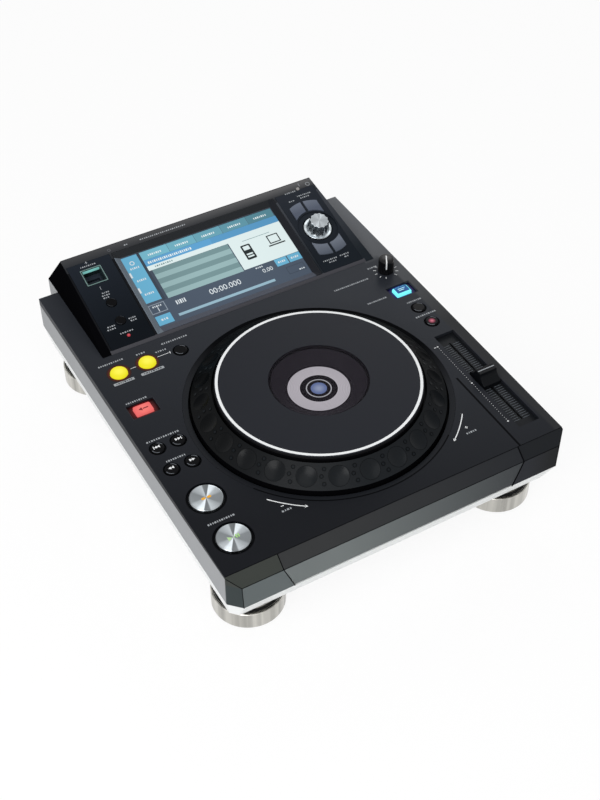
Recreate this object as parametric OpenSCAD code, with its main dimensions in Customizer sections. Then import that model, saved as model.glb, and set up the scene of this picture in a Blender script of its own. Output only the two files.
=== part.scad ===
// Table-top media player for disc jockeys: a jog wheel between two columns of
// controls, with a tilted touch screen behind it. Millimetres, +Z up, the
// front faces -Y, and the origin is on the floor under the middle of the case.

/* [Jog wheel] */
// Radius of the touch plate on top of the jog wheel
plate_r = 86; // [82:0.5:92]
// Width of the dark groove between the plate and the dimpled slope
groove_w = 1.8; // [1:0.1:3]
// Width of the dimpled slope, measured along the radius
slope_w = 17.4; // [15:0.2:20]
// Height of the ring's outer edge above the deck
ring_edge_h = 3.5; // [2:0.1:6]
// Rise of the dimpled slope from its outer to its inner edge
slope_rise = 12.6; // [10:0.2:15]
// Height of the plate above the inner edge of the slope
plate_proud = 4.4; // [3:0.1:6]
// Wall thickness of the ring and the plate
jog_wall = 4; // [3:0.1:5]
// Number of finger dimples
dimple_count = 24; // [20:1:26]
// Diameter of a finger dimple
dimple_d = 17; // [14:0.2:18.6]
// Depth of a finger dimple
dimple_depth = 1.6; // [1:0.1:2.2]
// Radius of the clear window in the middle of the plate
window_r = 41.4; // [38:0.2:46]
// Thickness of the clear window
window_t = 2; // [1.5:0.1:3]
// Radius of the fixed post that carries the wheel and its display
post_r = 27; // [24:0.5:30]
// Thickness of the bearing bush round the post
bush_t = 3; // [2:0.1:4]
// Depth of the display below the top of the plate
display_drop = 10; // [8.4:0.1:11]
// Thickness of the display disc
display_t = 2; // [1.5:0.1:3]
// Gap between the ring and the wall of its well
well_gap = 2.1; // [1.5:0.1:3]
// Width of the lip round the well
lip_w = 4.7; // [4:0.1:6]
// Depth of the well below the deck
well_depth = 16; // [14:0.2:20]

/* [Case] */
// Width of the column of controls beside the well's lip
column_w = 41; // [39:0.5:46]
// Deck in front of the well's lip
front_margin = 14.2; // [12:0.2:18]
// Deck between the well's lip and the display housing
loop_row = 18.8; // [16:0.2:26]
// Height of a foot
foot_h = 28.5; // [26:0.5:34]
// Height of the tapered bottom pan
pan_h = 24.5; // [22:0.5:30]
// Height of the upright walls between pan and deck
wall_h = 31.5; // [29:0.5:38]
// How far the pan's side walls draw in towards the bottom
pan_inset = 5.6; // [4:0.1:8]
// How far the pan's front wall draws in towards the bottom
pan_front_inset = 12.5; // [9:0.1:14]
// Size of the chamfers on the pan's front corners at its bottom
pan_corner = 6; // [4:0.5:9]
// Wall thickness of the pan
pan_t = 2.5; // [2:0.1:3]
// Thickness of the side and front walls
wall_t = 3; // [2.4:0.1:3.4]
// Thickness of the deck
deck_t = 3; // [2.6:0.1:3.6]
// Length of the front bevel, measured level
bevel_run = 9.9; // [7:0.1:13]
// Drop of the front bevel
bevel_drop = 8.1; // [6:0.1:11]
// How far the front face leans out towards its bottom edge
face_rake = 0.7; // [0.2:0.1:2]
// Size of the chamfers on the two front corners
corner_chamfer = 9.5; // [6:0.5:10]
// Place of the seams in the front, from the middle, at the deck
seam_x = 109; // [95:1:120]
// How far the seams lean in towards the bottom
seam_lean = 9; // [4:1:14]
// Width of the seams
seam_gap = 0.4; // [0.2:0.1:1]
// Height of the dark edge band along the sides of the deck
band_h = 6.5; // [4:0.5:9]
// Height of that band at its front end
band_front_h = 2; // [1:0.2:3]
// Length over which the band grows to its full height
band_taper = 150; // [100:5:200]
// Width of the groove along the tempo column
groove_line_w = 1; // [0.6:0.1:1.5]

/* [Display housing] */
// Tilt of the screen
tilt = 15.1; // [10:0.1:18]
// Length of the tilted top
slope_len = 107; // [100:0.5:116]
// Width of the glossy panels beside the screen
panel_w = 40.5; // [40:0.1:44]
// How far the housing's sides lean in
housing_lean = 8.5; // [5:0.5:10]
// Depth of the sloping back behind the top edge
back_run = 17; // [15:0.5:22]
// Wall thickness of the housing
housing_t = 4; // [3.6:0.1:5]
// Width of the bevel along the housing's front edge
trim_w = 1; // [0.6:0.1:2]
// Height of that bevel
trim_h = 0.9; // [0.5:0.1:1.5]
// Width of the picture on the screen
screen_w = 152.6; // [140:0.2:158]
// Bare housing in front of the screen's frame
frame_front = 2.5; // [2:0.1:4]
// Bare housing behind the screen's frame
frame_back = 9.5; // [8:0.1:12]
// Width of the bevels at the sides of the screen
bezel_w = 5.7; // [4:0.1:7]
// Width of the bevels in front of and behind the screen
bezel_l = 6.8; // [5:0.1:8]
// Depth of the screen below the housing's top
screen_sink = 3; // [2:0.1:4]
// Thickness of the screen
screen_t = 3; // [2:0.1:4]
// Thickness of the glossy panels beside the screen
panel_t = 2; // [1.6:0.1:2.4]
// Width of the ledge that carries the panels and the screen frame
seat_w = 2.5; // [2:0.1:3.5]

/* [Controls] */
// Radius of the play button
play_r = 13.6; // [12.5:0.1:15]
// Radius of the cue button
cue_r = 13.5; // [12.5:0.1:15]
// Width of the dished ring round the play and cue buttons
disc_dish_w = 2.4; // [1.5:0.1:3]
// Radius of the loop buttons
loop_r = 7.5; // [6.5:0.1:8]
// Radius of the small buttons
key_r = 5.8; // [5.2:0.1:6.2]
// Width of the dished ring round a small button
key_dish_w = 1.3; // [0.8:0.1:1.6]
// Width of the lit rectangular buttons
bar_key_w = 15.2; // [13:0.2:17]
// Length of the lit rectangular buttons
bar_key_l = 10.6; // [9:0.2:12]
// Width of the recess margin round a rectangular button, sideways
bar_dish_w = 4.6; // [3:0.1:5]
// Width of the recess margin round a rectangular button, fore and aft
bar_dish_l = 3; // [2:0.1:4]
// Travel of the buttons
key_travel = 1; // [0.6:0.1:1.4]
// Clearance round a button
key_clear = 0.3; // [0.25:0.05:0.5]
// Rise of the cue and play buttons above the deck
disc_rise = 1; // [0.6:0.1:3]
// Rise of the loop buttons above the deck
loop_rise = 2.2; // [1.4:0.1:3]
// Rise of the small buttons above the deck
key_rise = 0.8; // [0.4:0.1:1.4]
// Rise of the lit rectangular buttons above the deck
bar_rise = 0.1; // [0.1:0.1:1]
// Place of the play button from the deck's front edge
play_y = 29.6; // [26:0.1:33]
// Place of the cue button from the deck's front edge
cue_y = 74.3; // [70:0.1:80]
// Place of the search buttons from the deck's front edge
search_y = 114.2; // [111:0.1:118]
// Place of the track buttons from the deck's front edge
track_y = 139.9; // [136:0.1:145]
// Distance between the two buttons of a pair
pair_pitch = 18.2; // [16.5:0.1:20]
// Place of the reverse button from the deck's front edge
reverse_y = 186.2; // [175:0.1:192]
// Place of the loop buttons in front of the housing
loop_back = 23.1; // [19:0.1:26]
// Distance between the two loop buttons
loop_pitch = 26.2; // [22:0.1:30]
// Distance from the second loop button to the exit button
exit_pitch = 31.3; // [26:0.1:36]
// Radius of the speed knob at its foot
knob_r = 7.2; // [6.4:0.1:7.8]
// Height of the speed knob
knob_h = 14; // [12:0.5:18]
// Place of the speed knob in front of the housing
knob_back = 19.9; // [18:0.1:24]
// Distance from the speed knob to the jog-mode button
mode_pitch = 30.1; // [28:0.1:33]
// Place of the tempo-range button from the deck's front edge
range_y = 179.6; // [176:0.1:184]
// Place of the master-tempo button from the deck's front edge
master_y = 158.7; // [156:0.1:162]
// Place of the middle of the tempo fader from the deck's front edge
fader_y = 78.8; // [74:0.1:80]
// Travel of the tempo fader
fader_travel = 100; // [80:1:104]
// Width of the fader's recess
fader_w = 19.7; // [18:0.1:21]
// Depth of the fader's recess
fader_sink = 4; // [3.8:0.1:6]
// Width of the fader cap
cap_w = 17; // [14:0.1:17.4]
// Length of the fader cap
cap_l = 21; // [16:0.5:22]
// Height of the fader cap above the deck
cap_h = 9; // [7:0.2:12]
// Radius of the dish round the selector knob
dish_r = 18.7; // [17:0.1:19.4]
// Radius of the selector knob's skirt
skirt_r = 13; // [12:0.1:13.6]
// Radius of the selector knob's fluted grip
grip_r = 8.8; // [8:0.1:9.4]
// Height of the selector knob
grip_h = 12; // [10:0.1:14]
// Number of flutes on the selector knob
flute_count = 12; // [8:1:16]
// Place of the selector knob up the slope, as a share of its length
selector_up = 0.47664; // [0.45:0.001:0.5]
// Width of a browse button beside the selector knob
browse_w = 13; // [11:0.1:14]
// Radius of the browse buttons' far edges about the selector knob
browse_reach = 32; // [30:0.1:34]
// Gap between two browse buttons
browse_gap = 2.8; // [2.6:0.1:4]
// Radius of the two small buttons beside the screen
panel_key_r = 4.6; // [4:0.1:5.4]
// Place of the memory-stop button up the slope, as a share of its length
stop_up = 0.4514; // [0.42:0.001:0.48]
// Place of the time-mode button up the slope, as a share of its length
time_up = 0.2626; // [0.23:0.001:0.29]
// Place of the quantize lamp up the slope, as a share of its length
lamp_up = 0.1084; // [0.09:0.001:0.12]

/* [Sockets and feet] */
// Width of the lit frame round the memory socket
port_w = 19.6; // [18:0.1:22]
// Length of the lit frame round the memory socket
port_l = 17.7; // [16:0.1:18.4]
// Thickness of that frame
port_t = 1.6; // [1.2:0.1:2]
// Depth of the socket's pocket
port_depth = 9; // [7:0.2:11]
// Place of the socket's middle up the slope, as a share of its length
port_up = 0.7551; // [0.72:0.001:0.78]
// Depth of the rear panel inside the case
rear_sink = 8; // [7:0.1:10]
// Thickness of the rear panel
rear_t = 2; // [1.5:0.1:3]
// Radius of a foot
foot_r = 29.8; // [26:0.2:32]
// Height of the bright ring round a foot
foot_ring_h = 16.5; // [14:0.5:18]
// Thickness of the rubber pad under a foot
pad_t = 2; // [1.5:0.1:3]
// Distance from the side of the case to a foot's middle
foot_in_x = 34.6; // [34:0.2:38]
// Distance from the front of the deck to the front feet
foot_front_y = 32.1; // [31:0.5:40]
// Distance from the rear of the deck to the rear feet
foot_rear_y = 29.4; // [28:0.2:36]

/* [Hidden] */
$fn = 96;

// Clearance between fixed pieces that slide together
fit = 0.2;
// Gap under a moving piece at the end of its travel
stop_gap = 0.3;
// Overlap of a cutting shape past the face that it cuts
over = 1;

// Jog wheel, outwards from its plate
ring_in_r = plate_r + groove_w;
jog_r = ring_in_r + slope_w;
well_r = jog_r + well_gap;
lip_r = well_r + lip_w;
lip_t = 1.5;
lip_fall = 0.5;
well_wall = 2.5;
lip_seat = 1.9;
ring_top_z = ring_edge_h + slope_rise;
plate_z = ring_top_z + plate_proud;
web_t = jog_wall;
web_z = plate_z - display_drop - display_t;
skirt_drop = 8;
hub_wall = 5;
bush_r = post_r + bush_t;
running_fit = 0.05;
hub_r = bush_r + running_fit;
shoulder_z = -4.5;
shoulder_w = 2;
well_floor_t = 2;
dimple_phase = 9;
slope_angle = atan2(slope_rise, slope_w);
dimple_ball_r = (pow(dimple_d / 2, 2) + pow(dimple_depth, 2)) / (2 * dimple_depth);

// Case, outwards from the jog wheel; y = 0 is the deck's front edge
half_w = lip_r + column_w;
jog_y = front_margin + lip_r;
housing_y = jog_y + lip_r + loop_row;
slope_y = housing_y + trim_w;
ridge_y = slope_y + slope_len * cos(tilt);
ridge_z = trim_h + slope_len * sin(tilt);
rear_y = ridge_y + back_run;
front_y = -(bevel_run + face_rake);
deck_rear_in = 22;
body_rear = rear_y - deck_rear_in;
deck_z = foot_h + pan_h + wall_h;
deck_front_y = -(front_y + rear_y) / 2;
pan_top_z = -wall_h;
pan_z = pan_top_z - pan_h;
pan_floor_z = pan_z + pan_t;
apron_lift = 1.5;
tongue_h = 3;
tongue_t = 1.5;
tongue_in = wall_t + fit;
tongue_end = body_rear - 4 * wall_t;
groove_line_end = jog_y - lip_r / 3;

// Display housing, outwards from the screen; places up the slope go with its length
rim_w = 1;
rib_w = 2.5;
edge_w = 1.5;
frame_w = screen_w + 2 * bezel_w;
frame_s = frame_front;
frame_l = slope_len - frame_front - frame_back;
screen_l = frame_l - 2 * bezel_l;
panel_in = frame_w / 2 + rib_w;
panel_out = panel_in + panel_w;
panel_x = (panel_in + panel_out) / 2;
panel_s0 = frame_s;
panel_l = frame_l;
ridge_half = panel_out + edge_w;
housing_half = ridge_half + housing_lean;
block_half = housing_half;
land_w = 5;
front_land = trim_w + (frame_front - fit) * cos(tilt) - fit;
selector_s = selector_up * slope_len;
stop_s = stop_up * slope_len;
time_s = time_up * slope_len;
lamp_s = lamp_up * slope_len;
port_s = port_up * slope_len;

// Buttons; each column stands a little off the middle of its strip of deck
left_shift = 1.8;
right_shift = 0.8;
disc_shift = 0.7;
knob_shift = 2;
left_x = -(lip_r + column_w / 2 - left_shift);
right_x = lip_r + column_w / 2 + right_shift;
key_gap = 0.3;
flange_t = 1;
flange_w = 1;
stem_r = 2;
stem_l = 0.8;
switch_h = 3;
switch_w = 6;
board_t = 1.6;
boss_r = 2.5;
stem_drop = key_gap + flange_t + stem_l;
board_drop = stem_drop + key_travel + stop_gap + switch_h;
dish_depth = 1.2;
bar_dish_depth = 2;
bar_bevel = 0.8;
edge_r = 1.1;
loop_y = housing_y - loop_back;
knob_y = housing_y - knob_back;
mode_y = knob_y - mode_pitch;
knob_x = right_x + knob_shift;

play_at = [left_x + disc_shift, play_y];
cue_at = [left_x + disc_shift, cue_y];
loop_in_at = [left_x, loop_y];
loop_out_at = [left_x + loop_pitch, loop_y];
reloop_at = [left_x + loop_pitch + exit_pitch, loop_y];
reverse_at = [left_x, reverse_y];
track_back_at = [left_x - pair_pitch / 2, track_y];
track_forward_at = [left_x + pair_pitch / 2, track_y];
search_back_at = [left_x - pair_pitch / 2, search_y];
search_forward_at = [left_x + pair_pitch / 2, search_y];
mode_at = [right_x, mode_y];
range_at = [right_x, range_y];
master_at = [right_x, master_y];
knob_at = [knob_x, knob_y];
small_keys = [reloop_at, track_back_at, track_forward_at, search_back_at, search_forward_at,
              range_at, master_at];
bar_keys = [reverse_at, mode_at];
left_keys = [play_at, cue_at, loop_in_at, loop_out_at, reloop_at, reverse_at,
             track_back_at, track_forward_at, search_back_at, search_forward_at];
right_keys = [mode_at, range_at, master_at];

// Tempo fader
fader_plate_t = 1.5;
fader_rim = 3;
lever_t = 1.2;
slot_w = lever_t + 2 * stop_gap;
lever_l = 4;
lever_drop = 5;
unit_w = 10;
unit_wall = 1;
unit_depth = 8;
cap_dip = 2.5;
cap_top_l = 7;
cap_foot = 3;
cap_sweep = 60;
cap_socket = 6;
fader_end = 1.3;
fader_half = fader_travel / 2 + cap_l / 2 + fader_end;

// Control boards under the deck: a left strip with a leg under the loop row,
// and a right strip behind the fader
board_edge = 4;
board_gap = 2;
key_margin = 9;
board_top = -deck_t - board_drop;
board_low = board_top - board_t;
left_board_x0 = -(half_w - wall_t - board_edge);
left_board_x1 = -(lip_r + board_gap);
loop_board_x1 = reloop_at.x + key_margin;
loop_board_y0 = loop_y - key_margin;
board_y0 = play_y - key_margin;
board_y1 = loop_y + key_margin;
right_board_x0 = lip_r + board_gap;
right_board_x1 = half_w - wall_t - board_edge;
right_board_y0 = fader_y + fader_half + fader_rim + board_gap;
right_board_y1 = knob_y + key_margin;
left_bosses = [[left_board_x0 + board_edge, (play_y + cue_y) / 2],
               [left_board_x0 + board_edge, (track_y + reverse_y) / 2],
               [left_x + loop_pitch / 2, loop_y]];
right_bosses = [[right_board_x0 + board_edge, (range_y + mode_y) / 2],
                [right_board_x1 - board_edge, (range_y + master_y) / 2]];

// Speed knob and its potentiometer
knob_lift = 0.4;
knob_taper = 0.3;
knob_top_r = knob_r - knob_taper;
knob_shaft_r = 3;
pot_w = 9;
pot_h = 4;

// Selector
shaft_r = 3;
shaft_fit = 0.03;
selector_x = panel_x;
selector_dish = 1.2;
arc_r = dish_r + 1.5;
shaft_hole_r = 3.4;
skirt_t = 1.2;
pocket_depth = 3.1;
pocket_wall = 1.2;
pocket_gap = 1.1;
pocket_r = skirt_r + pocket_gap;
skirt_lift = key_travel + stop_gap - pocket_depth;
grip_top = skirt_lift + grip_h;
grip_cap_t = 2.5;
grip_flare = 1.6;
shaft_top = grip_top - grip_cap_t;
encoder_w = 12;
encoder_h = 1.5;
flute_r = 1.6;
flute_out = 1;
browse_rise = 0.8;
panel_board_drop = panel_t + board_drop;
shaft_end = encoder_h + stop_gap + key_travel - panel_board_drop;
boss_gap = 0.5;
stop_shift = 0.4;
usb_x = -panel_x + stop_shift;

// Sockets
socket_w = 15;
socket_l = 8;
socket_depth = 14;
socket_mouth_w = 12.4;
socket_mouth_l = 5;
contact_w = 11;
contact_t = 1.9;
port_base_t = 1.5;
port_rise = 0.3;
rear_face_y = rear_y - rear_sink;
jack_z = -26;
lan_w = 16;
lan_h = 13.5;
lan_mouth = [11.8, 7];
lan_mouth_y = 0.6;
lan_key = [6, 3];
lan_key_y = -4;
usb_b_w = 12;
usb_b_h = 11;
usb_b_mouth = [8.6, 8];
usb_b_tongue = [5.6, 3.2];
jack_depth = 16;
jack_back_t = 3;
jack_proud = 0.5;
ac_w = 28;
ac_h = 20.5;
ac_flange = 2;
ac_depth = 20;
ac_back_t = 4;
ac_mouth = [12.2, 8.3];
ac_corner = 4.35;
ac_pin = [2, 4];
ac_pins = [[-7, -0.5], [7, -0.5], [0, 3.2]];
contact_sink = 2;
rca_r = 4.15;
rca_l = 7;
rca_back = 4;
rca_bore = 1.6;
rca_base = 10;
rca_base_t = 1;
switch_key_w = 12;
switch_key_h = 8;
power_travel = 2;
power_proud = 4;
power_flange = 1.5;
sockets_x = [-96, -80, -58, -22, 12, 66, 104];

// Boards in the pan and the feet
stand_r = 4;
stand_h = 8;
main_board_size = [190, 120, board_t];
power_board_size = [90, 56, board_t];
power_board_x = 62;
power_board_back = 64;
power_board_y = rear_face_y - power_board_back;
chip_w = 28;
chip_h = 2.5;
transformer = [34, 28, 22];
capacitor_r = 8;
screw_gap = 12;
screw_back = 10;
screw_r = 1.5;
screw_head_r = 3.2;
screw_head_t = 1.8;
screw_l = 6;
pad_in = 3.5;
pad_r = foot_r - pad_in;
foot_ring_t = 1.6;
foot_ring_z = 1;
foot_edge = 0.5;
foot_reveal = 1.5;
foot_shoulder = 2.5;
washer_t = 0.9;
washer_in = 4;
washer_r = foot_r - washer_in;
neck_in = 8.5;
neck_r = foot_r - neck_in;
foot_x = half_w - foot_in_x;
foot_rear = body_rear - foot_rear_y;
foot_places = [for (x = [-foot_x, foot_x], y = [foot_front_y, foot_rear]) [x, y]];
screw_x = foot_x - foot_r - screw_gap;
screw_rows = [foot_front_y + screw_back, foot_rear - screw_back];
screw_places = [for (x = [-screw_x, 0, screw_x], y = screw_rows) [x, y]];

// Colours of the finishes
black = [0.05, 0.05, 0.06];
soft_black = [0.1, 0.1, 0.11];
dark_grey = [0.25, 0.26, 0.27];
light_grey = [0.74, 0.75, 0.75];
bright = [0.8, 0.8, 0.78];
board_green = [0.06, 0.3, 0.16];

// Frames: the deck's front edge, and the tilted top of the display housing
module on_deck() translate([0, deck_front_y, deck_z]) children();
module on_slope() on_deck() translate([0, slope_y, trim_h]) rotate([tilt, 0, 0]) children();
module at(p, z = 0) translate([p.x, p.y, z]) children();
module both_sides() for (m = [0, 1]) mirror([m, 0, 0]) children();

// A box given by its limits, a box centred on the vertical axis, and a drum
module block(x, y, z) translate([x[0], y[0], z[0]]) cube([x[1] - x[0], y[1] - y[0], z[1] - z[0]]);
module slab(w, l, z0, z1) block([-w / 2, w / 2], [-l / 2, l / 2], [z0, z1]);
module drum(r, z0, z1) translate([0, 0, z0]) cylinder(r = r, h = z1 - z0);

// Outlines in the XZ plane carried along Y, and in the YZ plane carried along X
module along_y(y0, y1) translate([0, y1, 0]) rotate([90, 0, 0]) linear_extrude(y1 - y0) children();
module along_x(x0, x1) translate([x0, 0, 0]) rotate([90, 0, 90]) linear_extrude(x1 - x0) children();
function arc(c, r, a0, a1, n = 5) = [for (i = [0:n])
    let (a = a0 + (a1 - a0) * i / n) c + r * [cos(a), sin(a)]];

// Plan of the case, drawn in by an inset
module case_plan(inset = 0) {
    w = half_w - inset;
    b = block_half - inset;
    f = front_y + inset;
    c = corner_chamfer - inset * (2 - sqrt(2));
    half = [[w - c, f], [w, f + c], [w, body_rear - inset], [b, body_rear - inset], [b, rear_y - inset]];
    polygon(concat(half, [for (i = [4:-1:0]) [-half[i].x, half[i].y]]));
}

// Bottom pan: side, front and corner walls that draw in by their own amounts
function pan_fall(z) = (pan_top_z - z) / pan_h;
function pan_side(z, inset) = half_w - pan_inset * pan_fall(z) - inset;
function pan_front(z, inset) = front_y + pan_front_inset * pan_fall(z) + inset;
pan_corner_draw = pan_inset + pan_front_inset + pan_corner - corner_chamfer;
function pan_reach(z, inset) =
    (half_w - front_y - corner_chamfer - pan_corner_draw * pan_fall(z)) / sqrt(2) - inset;
module pan_corner_side(turn, inset, z0, z1) {
    far = 2 * rear_y;
    rotate(turn) along_y(-far, far)
        polygon([[-far, z0], [pan_reach(z0, inset), z0], [pan_reach(z1, inset), z1], [-far, z1]]);
}
module pan_shape(inset, z0, z1) {
    w0 = pan_side(z0, inset);
    w1 = pan_side(z1, inset);
    r = rear_y - inset;
    intersection() {
        along_y(front_y - over, rear_y + over) polygon([[-w0, z0], [w0, z0], [w1, z1], [-w1, z1]]);
        along_x(-half_w, half_w)
            polygon([[pan_front(z0, inset), z0], [r, z0], [r, z1], [pan_front(z1, inset), z1]]);
        pan_corner_side(-45, inset, z0, z1);
        pan_corner_side(-135, inset, z0, z1);
        translate([0, 0, z0]) linear_extrude(z1 - z0) case_plan(inset);
    }
}
module pan_stands(size, x, y)
    for (i = [-1, 1], j = [-1, 1])
        translate([x + i * (size.x / 2 - stand_r), y + j * (size.y / 2 - stand_r), 0])
            drum(stand_r, pan_floor_z, pan_floor_z + stand_h);
// The tongue stands behind the walls' lower edge, on a rim inside the pan
module plan_ring(outer, z0, z1) translate([0, 0, z0]) linear_extrude(z1 - z0) difference() {
    case_plan(outer);
    case_plan(tongue_in + tongue_t);
}
module pan_tongue() intersection() {
    union() {
        plan_ring(tongue_in, pan_top_z - tongue_h / 2, pan_top_z + tongue_h);
        intersection() {
            pan_shape(pan_t - over, pan_top_z - tongue_h, pan_top_z);
            plan_ring(pan_t - fit, pan_top_z - tongue_h, pan_top_z);
        }
    }
    block([-half_w, half_w], [front_y, tongue_end], [pan_z, 0]);
}
module bottom_pan() color(light_grey) on_deck() difference() {
    union() {
        pan_tongue();
        difference() {
            pan_shape(0, pan_z, pan_top_z);
            pan_shape(pan_t, pan_floor_z, pan_top_z + over);
            block([-block_half + pan_t, block_half - pan_t], [rear_y - pan_t - over, rear_y + over],
                  [pan_floor_z + pan_t, pan_top_z + over]);
        }
        pan_stands(main_board_size, 0, jog_y);
        pan_stands(power_board_size, power_board_x, power_board_y);
        for (p = screw_places) at(p) drum(stand_r, pan_floor_z, pan_z + screw_l + pan_t);
    }
    for (p = screw_places) at(p) drum(screw_r, pan_z - over, pan_z + screw_l);
}

// Upright walls
module side_panel() {
    return_x = block_half - wall_t;
    return_top = -deck_t - fit;
    along_x(half_w - wall_t, half_w)
        polygon([[fit, pan_top_z], [body_rear, pan_top_z], [body_rear, -band_h - fit],
                 [band_taper, -band_h - fit], [fit, -band_front_h - fit]]);
    block([return_x, half_w - wall_t], [body_rear - wall_t, body_rear], [pan_top_z, return_top]);
    block([return_x, block_half], [body_rear - wall_t, rear_y], [pan_top_z, return_top]);
    block([return_x, block_half], [body_rear + fit, rear_y], [return_top, 0]);
}
module side_panel_right() color(light_grey) on_deck() side_panel();
module side_panel_left() color(light_grey) on_deck() mirror([1, 0, 0]) side_panel();

// Front: a bevelled channel with chamfered corners, cut in three by two seams
module front_block(inset) intersection() {
    along_x(-half_w, half_w) translate([inset, -inset])
        polygon([[over, -over * bevel_drop / bevel_run], [0, 0], [-bevel_run, -bevel_drop],
                 [front_y, pan_top_z], [front_y, pan_top_z - inset], [over, pan_top_z - inset]]);
    translate([0, 0, pan_top_z - over]) linear_extrude(wall_h + 2 * over) case_plan(inset);
    block([-half_w, half_w], [front_y, inset > 0 ? over : 0], [pan_top_z - inset, 0]);
}
module front_channel() difference() {
    front_block(0);
    front_block(wall_t);
}
module apron_outline(gap, low) polygon([[-seam_x - gap, over], [seam_x + gap, over],
    [seam_x + gap, -bevel_drop], [seam_x - seam_lean + gap, low], [-seam_x + seam_lean - gap, low],
    [-seam_x - gap, -bevel_drop]]);
module front_apron() color(dark_grey) on_deck() intersection() {
    front_channel();
    along_y(front_y - over, over) apron_outline(0, pan_top_z + apron_lift);
}
module front_corner() difference() {
    front_channel();
    along_y(front_y - over, over) apron_outline(seam_gap, pan_top_z);
    block([-half_w, 0], [front_y - over, over], [pan_top_z - over, over]);
}
module front_corner_right() color(dark_grey) on_deck() front_corner();
module front_corner_left() color(dark_grey) on_deck() mirror([1, 0, 0]) front_corner();

// Deck
module cover_plan() {
    w = half_w - wall_t;
    l = housing_half - land_w;
    polygon([[-w, 0], [w, 0], [w, body_rear], [l, body_rear], [l, housing_y + front_land],
             [-l, housing_y + front_land], [-l, body_rear], [-w, body_rear]]);
}
module edge_band() along_x(half_w - wall_t, half_w)
    polygon([[0, 0], [body_rear, 0], [body_rear, -band_h], [band_taper, -band_h], [0, -band_front_h]]);
module key_hole(r) drum(r + key_clear, -deck_t - over, over);
module dished_hole(r, dish_w) {
    key_hole(r);
    drum(r + dish_w, -dish_depth, over);
}
module deck_holes() {
    at([0, jog_y]) {
        drum(lip_r - lip_seat + fit, -deck_t - over, over);
        drum(lip_r + fit, -lip_t, over);
    }
    at(play_at) dished_hole(play_r, disc_dish_w);
    at(cue_at) dished_hole(cue_r, disc_dish_w);
    at(loop_in_at) key_hole(loop_r);
    at(loop_out_at) key_hole(loop_r);
    for (p = small_keys) at(p) dished_hole(key_r, key_dish_w);
    for (p = bar_keys) at(p) {
        slab(bar_key_w + 2 * key_clear, bar_key_l + 2 * key_clear, -deck_t - over, over);
        slab(bar_key_w + 2 * bar_dish_w, bar_key_l + 2 * bar_dish_l, -bar_dish_depth, over);
    }
    at(knob_at) key_hole(knob_shaft_r);
    at([right_x, fader_y]) slab(fader_w, 2 * fader_half, -deck_t - over, over);
    block([lip_r - groove_line_w, lip_r], [-over, groove_line_end], [-groove_line_w, over]);
}
module top_cover() color(soft_black) on_deck() difference() {
    union() {
        translate([0, 0, -deck_t]) linear_extrude(deck_t) cover_plan();
        both_sides() edge_band();
        for (p = concat(left_bosses, right_bosses)) at(p) drum(boss_r, board_top, -deck_t);
    }
    deck_holes();
}

// Well of the jog wheel, with the fixed post that the wheel turns on
module at_jog() on_deck() at([0, jog_y]) children();
display_z = plate_z - display_drop;
post_z = display_z - display_t;
module jog_well() color(black) at_jog() rotate_extrude()
    polygon([[0, -well_depth], [well_r + well_wall, -well_depth], [well_r + well_wall, -lip_t],
             [lip_r, -lip_t], [lip_r, 0], [well_r, -lip_fall], [well_r, -well_depth + well_floor_t],
             [bush_r + shoulder_w, -well_depth + well_floor_t], [bush_r + shoulder_w, shoulder_z],
             [post_r, shoulder_z], [post_r, post_z], [0, post_z]]);
module jog_bearing() color(bright) at_jog() difference() {
    drum(bush_r, shoulder_z, web_z - web_t);
    drum(post_r, shoulder_z - over, web_z);
}
module jog_display() color(light_grey) at_jog() drum(post_r - fit, post_z, display_z);

// Jog wheel: dimpled ring with its web and hub, touch plate, and clear window
module ring_profile() polygon([
    [jog_r, -skirt_drop], [jog_r, ring_edge_h], [ring_in_r, ring_top_z], [ring_in_r, web_z],
    [hub_r, web_z], [hub_r, shoulder_z + stop_gap], [hub_r + hub_wall, shoulder_z + stop_gap],
    [hub_r + hub_wall, web_z - web_t], [ring_in_r - jog_wall, web_z - web_t],
    [jog_r - jog_wall, ring_edge_h - jog_wall * tan(slope_angle) / 2], [jog_r - jog_wall, -skirt_drop]]);
module dimple(i) rotate(dimple_phase + i * 360 / dimple_count)
    translate([(ring_in_r + jog_r) / 2, 0, (ring_edge_h + ring_top_z) / 2]) rotate([0, slope_angle - 90, 0])
        translate([dimple_ball_r - dimple_depth, 0, 0]) sphere(dimple_ball_r);
module jog_ring() color(black) at_jog() difference() {
    rotate_extrude() ring_profile();
    for (i = [0:dimple_count - 1]) dimple(i);
}
plate_edge = 2.1;
window_seat = 2;
ledge_r = window_r - window_seat;
module jog_plate() color(soft_black) at_jog() rotate_extrude()
    polygon([[window_r, plate_z], [plate_r - plate_edge / 2, plate_z], [plate_r, plate_z - plate_edge],
             [plate_r, web_z], [plate_r - jog_wall, web_z], [plate_r - jog_wall, plate_z - jog_wall],
             [window_r + jog_wall, plate_z - jog_wall], [window_r + jog_wall, web_z],
             [ledge_r, web_z], [ledge_r, plate_z - window_t], [window_r, plate_z - window_t]]);
module jog_window() color([0.6, 0.65, 0.7, 0.4]) at_jog() drum(window_r - fit, plate_z - window_t, plate_z);

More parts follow.
